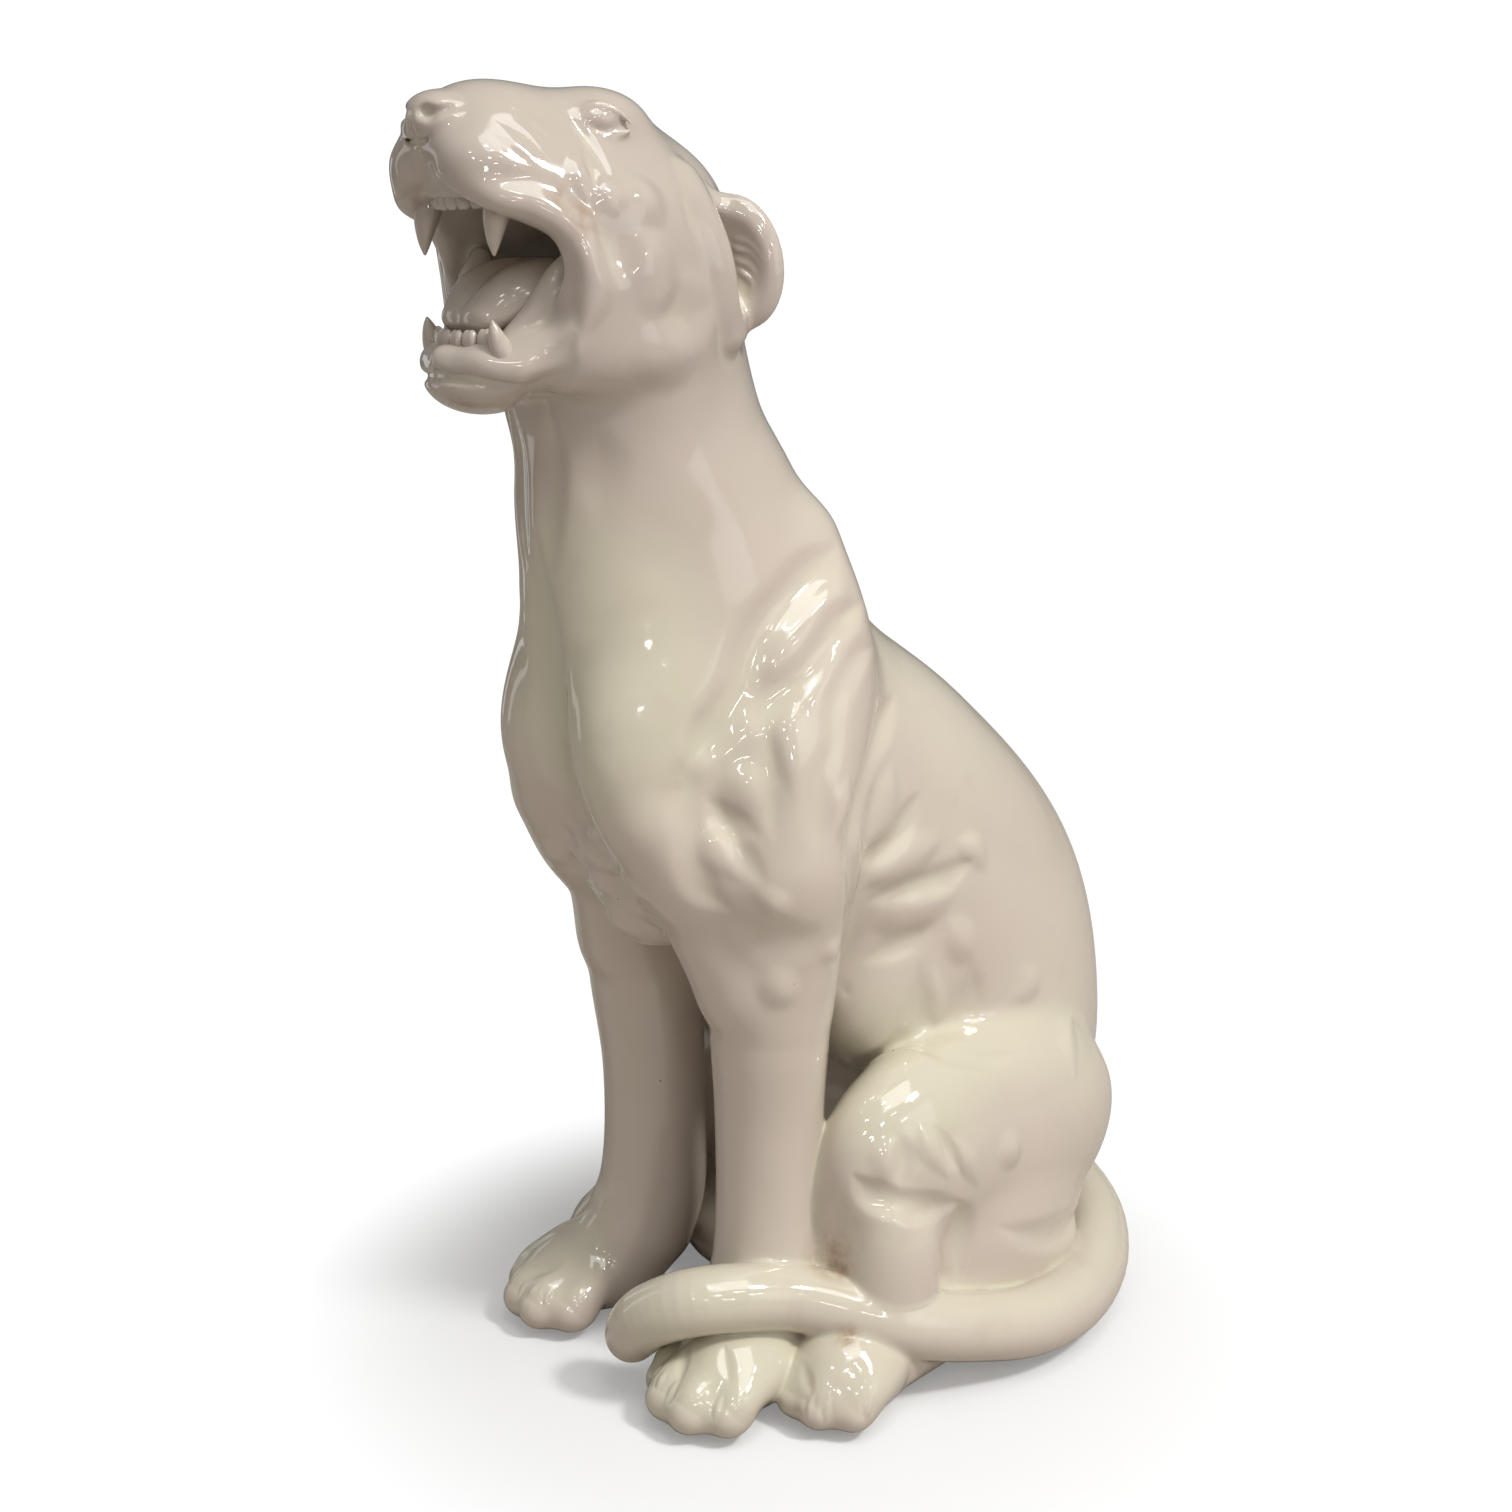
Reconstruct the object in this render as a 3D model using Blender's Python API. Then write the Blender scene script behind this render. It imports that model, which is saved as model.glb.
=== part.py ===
"""Glazed ceramic panther, seated, head raised and mouth open.

A slip-cast figure: hollow earthenware sections with flat luted joints, solid
ears, tongue and teeth set in with slip, all fired together under one glaze,
and six clear rubber bumpers stuck on underneath.

The animal faces -Y, its left side is +X, +Z is up. The forms below are written
in millimetres and turned into metres when a mesh is made.
"""
import math

import bmesh
import bpy
from mathutils import Matrix, Vector

MM = 0.001

# Driving dimensions, millimetres
WALL = 6.5
SLIP_LINE = 0.3
NECK_JOINT_Z = 648.0
LEG_JOINT_Z = 262.0
BUMPER_DIAMETER = 12.0
BUMPER_HEIGHT = 3.0
BUMPER_CLEARANCE = 0.3
FLOOR_FLAT_Z = BUMPER_HEIGHT + BUMPER_CLEARANCE
JAW_JOINT_Y = -122.0
JAW_JOINT_Z = 742.0
JAW_JOINT_LEAN = math.radians(-20.0)
HAUNCH_JOINT_FOOT_X = 62.0
HAUNCH_JOINT_LEAN = math.radians(17.3)
POUR_HOLE_DIAMETER = 30.0
FRONT_BUMPER = (86.0, -46.0)
HIND_BUMPER = (139.0, 6.0)
RUMP_BUMPER = (36.0, 214.0)
POUR_HOLE_CENTRE = (0.0, 196.0)

LEFT = 1
RIGHT = -1

# Body forms: balls are (centre, radii, tilt about X, turn about Z), degrees
SPINE = [(0, -62, 730, 70, 66), (0, -59, 686, 76, 71), (0, -53, 640, 85, 78), (0, -34, 600, 90, 85),
         (0, -18, 550, 99, 95), (0, 4, 488, 110, 104), (0, 48, 422, 127, 107), (0, 124, 359, 132, 108),
         (0, 191, 275, 138, 112), (0, 212, 195, 130, 120), (0, 206, 150, 122, 118)]
THROAT = [(0, -128, 704, 24, 30), (0, -107, 668, 24, 34), (0, -93, 635, 34, 42), (0, -90, 600, 46, 52),
          (0, -78, 556, 58, 68)]
BREAST = ((0, -34, 500), (80, 94, 106), 0, 0)
KEEL = ((0, -40, 380), (36, 60, 70), 0, 0)
SEAT = ((0, 206, 76), (114, 118, 84), 0, 0)
PECTORAL = ((42, -58, 466), (49, 79, 87), 8, 0)
LEG_FRONT = ((54, -66, 398), (37, 49, 63), 0, 0)
ELBOW = ((100, -10, 374), (28, 39, 55), -8, 0)
THIGH = ((110, 156, 142), (52, 140, 92), 2, 0)
KNEE = ((118, 78, 166), (47, 94, 69), 4, 0)
HOCK = ((118, 140, 92), (45, 78, 60), 0, 0)
UPPER_ARM = [(52, 30, 585, 28, 28), (74, 22, 520, 42, 42), (84, -4, 450, 51, 51), (84, -14, 390, 51, 51)]
FORELEG = [(78, -10, 390, 53, 53), (76, -8, 330, 49, 49), (70, -6, 270, 42, 42), (66, -3, 200, 38, 38),
           (66, -2, 140, 38, 38), (68, -4, 95, 40, 40), (72, -12, 66, 41, 41)]
SHANK = [(136, 38, 150, 31, 31), (137, 38, 110, 32, 32), (137, 36, 66, 33, 33)]
HIND_FOOT = [(120, 200, 50, 40, 40), (128, 120, 42, 38, 38), (136, 50, 36, 34, 34), (139, 10, 33, 33, 32)]
HIND_HOLLOW = [(110, 188, 62, 28), (116, 130, 46, 20), (132, 56, 38, 17), (138, 14, 34, 15)]
FRONT_PAW = ((86, -42, 34), (40, 52, 34), 0, 18)
HIND_PAW = ((139, 4, 32), (36, 40, 32), 0, 12)
FRONT_TOES = ((58, -92), (77, -107), (99, -106), (119, -88))
HIND_TOES = ((112, -26), (131, -38), (151, -36), (168, -20))
TAIL = [(-14, 268, 70, 32), (14, 292, 60, 31), (52, 308, 50, 30), (104, 292, 39, 28), (148, 250, 33, 26),
        (176, 196, 32, 25), (184, 144, 36, 25), (176, 98, 44, 24), (160, 46, 58, 23.5), (134, 12, 70, 23),
        (110, -18, 80, 23), (94, -54, 86, 23), (76, -80, 84, 23), (52, -94, 70, 22), (36, -96, 55, 21),
        (28, -95, 44, 19)]

# Head forms
BRAINCASE = ((0, -64, 776), (61, 69, 71), -20, 0)
FOREHEAD = ((0, -94, 826), (50, 55, 35), -12, 0)
BROW = ((31, -104, 850), (22, 26, 16), -6, 0)
CHEEK = ((46, -92, 762), (34, 57, 64), -12, 0)
CHEEK_FRONT = ((56, -122, 762), (27, 37, 58), 0, 0)
JOWL = ((38, -84, 716), (39, 49, 43), -12, 0)
UNDER_JOWL = ((26, -84, 690), (43, 47, 45), 0, 0)
WHISKER_PAD = ((27, -180, 825), (31, 34, 23), 6, -6)
PAD_SIDE = ((42, -148, 806), (28, 39, 27), 10, 0)
NOSE = ((0, -200, 846), (24, 16, 16), -20, 0)
EYE = ((43, -117, 845), (11, 14, 11), 0, -29)
MUZZLE = [(0, -188, 838, 26, 31), (0, -168, 837, 34, 44), (0, -135, 829, 39, 53), (0, -98, 818, 45, 58)]
JAW_SIDE = [(22, -176, 706, 20), (44, -152, 712, 21), (52, -118, 718, 27), (46, -84, 730, 38)]
MOUTH = [(0, -250, 770, 33, 56), (0, -190, 767, 35, 61), (0, -150, 765, 34, 60), (0, -125, 761, 26, 50)]
MOUTH_FLOOR = ((0, -160, 703), (46, 33, 19), 0, 0)
CHIN = ((0, -174, 701), (40, 33, 23), 0, 0)
GUM = ((0, -178, 808), (37, 20, 12), 0, 0)
LIP = [(0, -198, 711, 7), (24, -192, 710, 7), (41, -180, 706, 8), (55, -164, 708, 9), (63, -151, 720, 9.5),
       (68, -143, 737, 9.5), (71, -141, 755, 9.5), (71, -146, 771, 9.5), (68, -157, 787, 9.5),
       (60, -172, 797, 9.5), (49, -189, 802, 9), (36, -198, 809, 8), (22, -203, 817, 7)]
EAR = ((59, -24, 766), (12, 30, 42), 12, -55)
EAR_BOWL = ((67, -37, 765), (13, 24, 34), 12, -55)
TONGUE = [(0, -112, 748, 22, 36), (0, -138, 749, 21, 37), (0, -156, 742, 16, 34), (0, -171, 733, 9, 23)]


def clear_scene():
    """Start from an empty scene."""
    for old in list(bpy.data.objects):
        bpy.data.objects.remove(old, do_unlink=True)


def make_object(name, mesh_source):
    """Wrap a bmesh as an object in the scene."""
    mesh = bpy.data.meshes.new(name)
    mesh_source.to_mesh(mesh)
    mesh_source.free()
    thing = bpy.data.objects.new(name, mesh)
    bpy.context.scene.collection.objects.link(thing)
    return thing


def bake(thing):
    """Fix an object's modifiers into its mesh."""
    graph = bpy.context.evaluated_depsgraph_get()
    mesh = bpy.data.meshes.new_from_object(thing.evaluated_get(graph))
    old = thing.data
    thing.modifiers.clear()
    thing.data = mesh
    bpy.data.meshes.remove(old)
    return thing


def flip(form, side):
    """The same ball on the other side of the body."""
    (x, y, z), radii, tilt, turn = form
    return ((x * side, y, z), radii, tilt, turn * side)


def add_ball(bm, form, grow=0.0):
    """An ellipsoid of clay."""
    centre, radii, tilt, turn = form
    spin = Matrix.Rotation(math.radians(turn), 4, "Z") @ Matrix.Rotation(math.radians(tilt), 4, "X")
    size = Matrix.Diagonal(Vector([max(r + grow, 1.0) * MM for r in radii] + [1.0]))
    place = Matrix.Translation(Vector(centre) * MM)
    bmesh.ops.create_uvsphere(bm, u_segments=32, v_segments=20, radius=1.0, matrix=place @ spin @ size)


def through(rows, count):
    """Smooth stations through the given rows."""
    ends = [[2 * a - b for a, b in zip(rows[0], rows[1])]]
    ends += [list(row) for row in rows]
    ends += [[2 * a - b for a, b in zip(rows[-1], rows[-2])]]
    last = len(rows) - 1
    stations = []
    for step in range(count):
        u = last * step / (count - 1)
        i = min(int(u), last - 1)
        t = u - i
        station = []
        for p0, p1, p2, p3 in zip(ends[i], ends[i + 1], ends[i + 2], ends[i + 3]):
            square = (2 * p0 - 5 * p1 + 4 * p2 - p3) * t * t
            cube = (-p0 + 3 * p1 - 3 * p2 + p3) * t * t * t
            station.append(0.5 * (2 * p1 + (p2 - p0) * t + square + cube))
        stations.append(station)
    return stations


def add_limb(bm, rows, side=LEFT, grow=0.0, count=None, around=28, rounded=True, up=None):
    """A tapered roll of clay through rows of (x, y, z, radius, half-width)."""
    rows = [tuple(row) if len(row) == 5 else tuple(row) + (row[3],) for row in rows]
    stations = through(rows, count or 5 * len(rows))
    centres = [Vector((s[0] * side, s[1], s[2])) for s in stations]
    rings = []
    for i, s in enumerate(stations):
        ahead = centres[min(i + 1, len(centres) - 1)] - centres[max(i - 1, 0)]
        ahead.normalize()
        across = Vector((1, 0, 0)) if up is None else Vector(up).cross(ahead)
        across = (across - ahead * across.dot(ahead)).normalized()
        over = ahead.cross(across)
        ring = []
        for k in range(around):
            angle = 2 * math.pi * k / around
            point = centres[i] + across * math.cos(angle) * (s[4] + grow) + over * math.sin(angle) * (s[3] + grow)
            ring.append(bm.verts.new(point * MM))
        rings.append(ring)
    for low, high in zip(rings, rings[1:]):
        for k in range(around):
            n = (k + 1) % around
            bm.faces.new((low[k], low[n], high[n], high[k]))
    bm.faces.new(list(reversed(rings[0])))
    bm.faces.new(rings[-1])
    if rounded:
        for s, centre in ((stations[0], centres[0]), (stations[-1], centres[-1])):
            add_ball(bm, (centre, (s[4], s[3], s[3]), 0, 0), grow)


def skin(name, bm, voxel, rounds, faces=0):
    """Fuse overlapping clay into one smooth closed skin."""
    bmesh.ops.recalc_face_normals(bm, faces=bm.faces)
    thing = make_object(name, bm)
    fuse = thing.modifiers.new("fuse", "REMESH")
    fuse.mode = "VOXEL"
    fuse.voxel_size = voxel * MM
    if rounds:
        ease = thing.modifiers.new("ease", "SMOOTH")
        ease.factor = 0.5
        ease.iterations = rounds
    bake(thing)
    if faces:
        thin(thing, faces)
    return thing


def thin(thing, faces):
    """Bring a skin down to about the wanted number of triangles."""
    count = sum(len(face.vertices) - 2 for face in thing.data.polygons)
    if count > faces:
        fewer = thing.modifiers.new("fewer", "DECIMATE")
        fewer.ratio = faces / count
        bake(thing)
    return thing


def grown(thing, distance, name):
    """A copy with its surface moved outward."""
    copy = bpy.data.objects.new(name, thing.data.copy())
    bpy.context.scene.collection.objects.link(copy)
    push = copy.modifiers.new("push", "DISPLACE")
    push.mid_level = 0.0
    push.strength = distance * MM
    return bake(copy)


def copy_of(thing, name):
    """A separate copy of an object."""
    copy = bpy.data.objects.new(name, thing.data.copy())
    bpy.context.scene.collection.objects.link(copy)
    return copy


def cut(thing, cutter, operation="DIFFERENCE"):
    """Cut, keep or join with another solid."""
    knife = thing.modifiers.new("knife", "BOOLEAN")
    knife.operation = operation
    knife.solver = "EXACT"
    knife.object = cutter
    return bake(thing)


def discard(*things):
    """Remove working solids."""
    for thing in things:
        bpy.data.objects.remove(thing, do_unlink=True)


def block(low, high, lean=0.0, pivot=(0, 0, 0), axis="Y"):
    """A box between two corners, leaned about an axis through a pivot."""
    bm = bmesh.new()
    bmesh.ops.create_cube(bm, size=1.0)
    size = [(b - a) * MM for a, b in zip(low, high)]
    centre = [(a + b) * 0.5 * MM for a, b in zip(low, high)]
    bmesh.ops.scale(bm, vec=size, verts=bm.verts)
    bmesh.ops.translate(bm, vec=centre, verts=bm.verts)
    if lean:
        spin = Matrix.Rotation(lean, 3, axis)
        bmesh.ops.rotate(bm, cent=Vector(pivot) * MM, matrix=spin, verts=bm.verts)
    return make_object("block", bm)


def column(x, y, radius, low, high, segments=48):
    """An upright cylinder."""
    bm = bmesh.new()
    place = Matrix.Translation(Vector((x, y, (low + high) / 2)) * MM)
    bmesh.ops.create_cone(bm, cap_ends=True, segments=segments, radius1=radius * MM, radius2=radius * MM,
                          depth=(high - low) * MM, matrix=place)
    return make_object("column", bm)


def tidy(thing):
    """Join stray points, drop slivers and keep the one closed body."""
    bm = bmesh.new()
    bm.from_mesh(thing.data)
    bmesh.ops.remove_doubles(bm, verts=bm.verts, dist=0.00002)
    bmesh.ops.dissolve_degenerate(bm, edges=bm.edges, dist=0.00002)
    bm.verts.ensure_lookup_table()
    seen = set()
    groups = []
    for start in bm.verts:
        if start.index in seen:
            continue
        seen.add(start.index)
        stack = [start]
        group = []
        while stack:
            vert = stack.pop()
            group.append(vert)
            for edge in vert.link_edges:
                other = edge.other_vert(vert)
                if other.index not in seen:
                    seen.add(other.index)
                    stack.append(other)
        groups.append(group)
    groups.sort(key=len, reverse=True)
    loose = [vert for group in groups[1:] for vert in group]
    if loose:
        bmesh.ops.delete(bm, geom=loose, context="VERTS")
    bmesh.ops.triangulate(bm, faces=[face for face in bm.faces if len(face.verts) > 3])
    bmesh.ops.recalc_face_normals(bm, faces=bm.faces)
    bm.to_mesh(thing.data)
    bm.free()
    return thing


def glaze(thing, name, colour, roughness, clear=0.0):
    """Name the piece and give it its own material."""
    thing.name = name
    thing.data.name = name
    paint = bpy.data.materials.new(name + "_glaze")
    paint.use_nodes = True
    shader = paint.node_tree.nodes["Principled BSDF"]
    shader.inputs["Base Color"].default_value = (*colour, 1.0)
    shader.inputs["Roughness"].default_value = roughness
    shader.inputs["Coat Weight"].default_value = 0.0 if clear else 0.6
    shader.inputs["Transmission Weight"].default_value = clear
    thing.data.materials.clear()
    thing.data.materials.append(paint)
    for face in thing.data.polygons:
        face.use_smooth = True
    return thing


CREAM = (0.68, 0.62, 0.53)
SHADE = (0.55, 0.49, 0.41)


def make_tail(grow=0.0):
    """The tail as a tapered roll, and the hollow inside it."""
    bm = bmesh.new()
    add_limb(bm, TAIL, count=60, grow=grow, around=26, up=(0, 0, 1), rounded=False)
    tip = TAIL[-1]
    add_ball(bm, (tip[:3], (tip[3],) * 3, 0, 0), grow)
    return skin("tail", bm, 3.0, 2, 640)


def make_tail_hollow():
    """The open bore of the tail."""
    bm = bmesh.new()
    rows = [(-60, 236, 84, 14)] + [(x, y, z, r - 11.0) for x, y, z, r in TAIL[:-1]]
    add_limb(bm, rows, count=46, around=16, up=(0, 0, 1))
    return skin("tail_hollow", bm, 3.0, 1, 260)


def make_foreleg(side, grow=0.0):
    """A foreleg with its paw, still closed at the top."""
    bm = bmesh.new()
    add_limb(bm, FORELEG, side, grow)
    add_ball(bm, flip(FRONT_PAW, side), grow)
    for x, y in FRONT_TOES:
        add_limb(bm, [(x * 0.6 + 34, -36, 38, 16), (x, y + 18, 31, 15), (x, y + 4, 21, 14.5)], side, grow,
                 count=8, around=16)
    return skin("foreleg", bm, 3.2, 3, 1000)


def make_foreleg_hollow(side):
    """The hollow of a foreleg, open upward."""
    bm = bmesh.new()
    rows = [(78, -8, 390, 40), (76, -8, 330, 40), (70, -6, 270, 34), (66, -3, 200, 30), (66, -2, 140, 27),
            (67, -4, 100, 25), (76, -20, 66, 19), (85, -46, 38, 15)]
    add_limb(bm, rows, side, count=26, around=20)
    return skin("foreleg_hollow", bm, 5.0, 1, 220)


def make_trunk():
    """Neck, chest, belly, haunches and hind feet in one skin."""
    bm = bmesh.new()
    add_limb(bm, SPINE, count=60, around=44)
    add_limb(bm, THROAT)
    for form in (BREAST, KEEL, SEAT):
        add_ball(bm, form)
    for side in (LEFT, RIGHT):
        for form in (PECTORAL, LEG_FRONT, ELBOW, UNDER_JOWL):
            add_ball(bm, flip(form, side))
        add_limb(bm, UPPER_ARM, side)
        add_limb(bm, FORELEG[:4], side)
    body = skin("body", bm, 4.0, 26)

    bm = bmesh.new()
    bm.from_mesh(body.data)
    discard(body)
    for side in (LEFT, RIGHT):
        for form in (THIGH, KNEE, HOCK, HIND_PAW):
            add_ball(bm, flip(form, side))
        add_limb(bm, SHANK, side)
        add_limb(bm, HIND_FOOT, side)
        for x, y in HIND_TOES:
            add_limb(bm, [(x * 0.7 + 42, 16, 36, 16), (x, y + 16, 30, 15), (x, y + 4, 20, 13.5)], side,
                     count=8, around=16)
    return skin("trunk", bm, 3.6, 5, 3800)


def make_trunk_hollow():
    """The space left inside the trunk when the slip is poured out."""
    bm = bmesh.new()
    add_limb(bm, SPINE, count=50, around=32, grow=-WALL)
    for form in (BREAST, SEAT):
        add_ball(bm, form, -WALL)
    add_ball(bm, KEEL, -WALL - 1.0)
    for side in (LEFT, RIGHT):
        for form in (PECTORAL, LEG_FRONT, ELBOW, THIGH, KNEE, HOCK):
            add_ball(bm, flip(form, side), -WALL - 1.0)
        add_limb(bm, UPPER_ARM, side, -WALL)
        add_limb(bm, FORELEG[:3], side, -WALL)
        add_limb(bm, HIND_HOLLOW, side, count=16, around=20)
    return skin("trunk_hollow", bm, 6.0, 4, 1000)


def make_head():
    """Head with open mouth, down to the top of the neck."""
    bm = bmesh.new()
    add_limb(bm, SPINE[:4], count=24, around=40)
    add_limb(bm, THROAT[:4])
    add_limb(bm, MUZZLE, count=18)
    for form in (BRAINCASE, FOREHEAD, NOSE):
        add_ball(bm, form)
    for side in (LEFT, RIGHT):
        for form in (CHEEK, CHEEK_FRONT, JOWL, UNDER_JOWL, BROW, WHISKER_PAD, PAD_SIDE, EYE):
            add_ball(bm, flip(form, side))
        add_limb(bm, JAW_SIDE, side, count=18)
    head = skin("head", bm, 3.0, 5)
    bm = bmesh.new()
    add_limb(bm, MOUTH, count=18)
    mouth = skin("mouth", bm, 3.0, 3)
    cut(head, mouth)
    discard(mouth)

    bm = bmesh.new()
    bm.from_mesh(head.data)
    discard(head)
    for form in (MOUTH_FLOOR, CHIN, GUM):
        add_ball(bm, form)
    for side in (LEFT, RIGHT):
        add_limb(bm, LIP, side, count=48, around=16)
    return skin("head", bm, 2.5, 4, 3000)


def make_head_hollow():
    """The space behind and above the mouth."""
    bm = bmesh.new()
    add_limb(bm, SPINE[:4], count=20, around=28, grow=-WALL - 1.0)
    add_ball(bm, BRAINCASE, -WALL - 1.0)
    add_limb(bm, [(0, -176, 840, 9), (0, -150, 840, 12), (0, -96, 836, 16), (0, -70, 820, 30)], count=14,
             around=16)
    for side in (LEFT, RIGHT):
        add_ball(bm, flip(CHEEK, side), -WALL - 3.0)
        add_ball(bm, flip(JOWL, side), -WALL - 3.0)
    hollow = skin("head_hollow", bm, 4.0, 3, 600)
    bm = bmesh.new()
    add_limb(bm, MOUTH, count=18, grow=WALL + 1.0)
    guard = skin("guard", bm, 4.0, 2, 400)
    cut(hollow, guard)
    discard(guard)
    return hollow


def make_tooth(base, tip, radius, name):
    """A pointed tooth, root in the gum."""
    bm = bmesh.new()
    base = Vector(base)
    tip = Vector(tip)
    bend = (tip - base).length * 0.10
    rows = []
    for t, size in ((0.0, 1.0), (0.3, 0.92), (0.6, 0.68), (0.85, 0.36), (1.0, 0.14)):
        point = base.lerp(tip, t)
        rows.append((point.x, point.y - bend * math.sin(math.pi * t), point.z, radius * size))
    add_limb(bm, rows, count=12, around=14)
    return skin(name, bm, 1.1, 1, 110)


def make_tooth_row(points, radius, height, name):
    """A row of small blunt teeth in one piece."""
    bm = bmesh.new()
    for x, y, z in points:
        add_ball(bm, ((x, y, z), (radius, radius * 0.8, height), 0, 0))
    for a, b in zip(points, points[1:]):
        middle = [(p + q) / 2 for p, q in zip(a, b)]
        add_ball(bm, (middle, (radius * 0.7, radius * 0.7, height * 0.8), 0, 0))
    return skin(name, bm, 1.1, 1, 200)


def make_ear(side):
    """A cupped ear."""
    bm = bmesh.new()
    add_ball(bm, flip(EAR, side))
    ear = skin("ear", bm, 2.6, 1)
    bm = bmesh.new()
    add_ball(bm, flip(EAR_BOWL, side))
    bowl = make_object("bowl", bm)
    cut(ear, bowl)
    discard(bowl)
    return thin(ear, 280)


def make_tongue():
    """The tongue lying in the floor of the mouth."""
    bm = bmesh.new()
    add_limb(bm, TONGUE, count=16, around=24)
    return skin("tongue", bm, 2.2, 2, 240)


def make_bumper(x, y):
    """A clear domed bumper, flat on both faces."""
    bm = bmesh.new()
    profile = [(0.0, 0.0), (0.32, 0.0), (0.45, 0.7), (0.5, BUMPER_HEIGHT), (0.0, BUMPER_HEIGHT)]
    line = [bm.verts.new((x * MM + share * BUMPER_DIAMETER * MM, y * MM, z * MM)) for share, z in profile]
    edges = [bm.edges.new(pair) for pair in zip(line, line[1:])]
    bmesh.ops.spin(bm, geom=line + edges, cent=(x * MM, y * MM, 0.0), axis=(0, 0, 1), dvec=(0, 0, 0),
                   angle=2 * math.pi, steps=16)
    bmesh.ops.remove_doubles(bm, verts=bm.verts, dist=0.00001)
    bmesh.ops.recalc_face_normals(bm, faces=bm.faces)
    return make_object("bumper", bm)


clear_scene()

# The closed clay forms
trunk = make_trunk()
trunk_hollow = make_trunk_hollow()
tail = make_tail()
tail_room = grown(tail, SLIP_LINE, "tail_room")
tail_hollow = make_tail_hollow()
cut(tail, tail_hollow)
discard(tail_hollow)

forelegs = {side: make_foreleg(side) for side in (LEFT, RIGHT)}
foreleg_rooms = {side: grown(forelegs[side], SLIP_LINE, "foreleg_room") for side in (LEFT, RIGHT)}

# Open the trunk and cut it into sections along the luted joints
inner_floor = block((-400, -400, -100), (400, 500, FLOOR_FLAT_Z + WALL))
cut(trunk_hollow, inner_floor)
cut(trunk, trunk_hollow)
discard(trunk_hollow, inner_floor)
floor = block((-400, -400, -100), (400, 500, FLOOR_FLAT_Z))
above_neck = block((-300, -400, NECK_JOINT_Z - SLIP_LINE / 2), (300, 400, 1100))
below_neck = block((-300, -400, 0), (300, 400, NECK_JOINT_Z + SLIP_LINE / 2))
cut(trunk, floor)
cut(trunk, tail_room)

haunch_blocks = {}
haunch_rooms = {}
for side in (LEFT, RIGHT):
    inner = HAUNCH_JOINT_FOOT_X
    for gap, store in ((SLIP_LINE / 2, haunch_blocks), (-SLIP_LINE / 2, haunch_rooms)):
        low = (inner + gap, -300, -200) if side == LEFT else (-inner - gap - 400, -300, -200)
        high = (inner + gap + 400, 600, 900) if side == LEFT else (-inner - gap, 600, 900)
        store[side] = block(low, high, HAUNCH_JOINT_LEAN * side, (inner * side, 0, 0))

leg_sockets = {side: column(69 * side, -5, 50.0, 90, LEG_JOINT_Z + SLIP_LINE / 2) for side in (LEFT, RIGHT)}
hind_legs = {}
for side in (LEFT, RIGHT):
    hind_legs[side] = cut(copy_of(trunk, "hind_leg"), haunch_blocks[side], "INTERSECT")
    cut(hind_legs[side], foreleg_rooms[side])

torso = trunk
cut(torso, above_neck)
for side in (LEFT, RIGHT):
    cut(torso, haunch_rooms[side])
    cut(torso, leg_sockets[side])
pour_hole = column(*POUR_HOLE_CENTRE, POUR_HOLE_DIAMETER / 2, -20, 40)
cut(torso, pour_hole)
discard(pour_hole, above_neck)

above_leg = block((-300, -400, LEG_JOINT_Z - SLIP_LINE / 2), (300, 400, 900))
for side in (LEFT, RIGHT):
    hollow = make_foreleg_hollow(side)
    cut(forelegs[side], hollow)
    cut(forelegs[side], above_leg)
    cut(forelegs[side], floor)
    cut(forelegs[side], tail_room)
    discard(hollow)
discard(above_leg, tail_room)

# Head, jaw, ears, tongue and teeth
head = make_head()
head_room = grown(head, SLIP_LINE, "head_room")
head_hollow = make_head_hollow()
cut(head, head_hollow)
cut(head, below_neck)
jaw_hinge = (0, JAW_JOINT_Y, JAW_JOINT_Z)
jaw_blocks = []
for gap in (SLIP_LINE / 2, -SLIP_LINE / 2):
    corner = (200, JAW_JOINT_Y - gap, JAW_JOINT_Z - gap)
    jaw_blocks.append(block((-200, -400, 560), corner, JAW_JOINT_LEAN, jaw_hinge, "X"))
jaw_block, jaw_room = jaw_blocks
lower_jaw = cut(copy_of(head, "lower_jaw"), jaw_block, "INTERSECT")
cut(head, jaw_room)
discard(head_hollow, below_neck, jaw_block, jaw_room)

ears = {}
for side in (LEFT, RIGHT):
    ears[side] = cut(make_ear(side), head_room)
tongue = cut(make_tongue(), head_room)
fangs = {}
for side in (LEFT, RIGHT):
    fangs["upper", side] = make_tooth((37 * side, -185, 806), (38 * side, -186, 770), 8.5, "upper_fang")
    fangs["lower", side] = make_tooth((35 * side, -180, 711), (36 * side, -187, 738), 7.5, "lower_fang")
    row = [((51 + 0.5 * k) * side, -164 + 10 * k, 751 + 3 * k) for k in range(3)]
    fangs["cheek", side] = make_tooth_row(row, 7.5, 9.0, "cheek_teeth")
row = [(x, -187, 802) for x in (-19, -6.3, 6.3, 19)]
fangs["upper", 0] = make_tooth_row(row, 6.6, 8.0, "upper_incisors")
row = [(x, -190, 723) for x in (-18, -6, 6, 18)]
fangs["lower", 0] = make_tooth_row(row, 6.3, 8.0, "lower_incisors")
for tooth in fangs.values():
    cut(tooth, head_room)
discard(head_room, floor)

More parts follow.
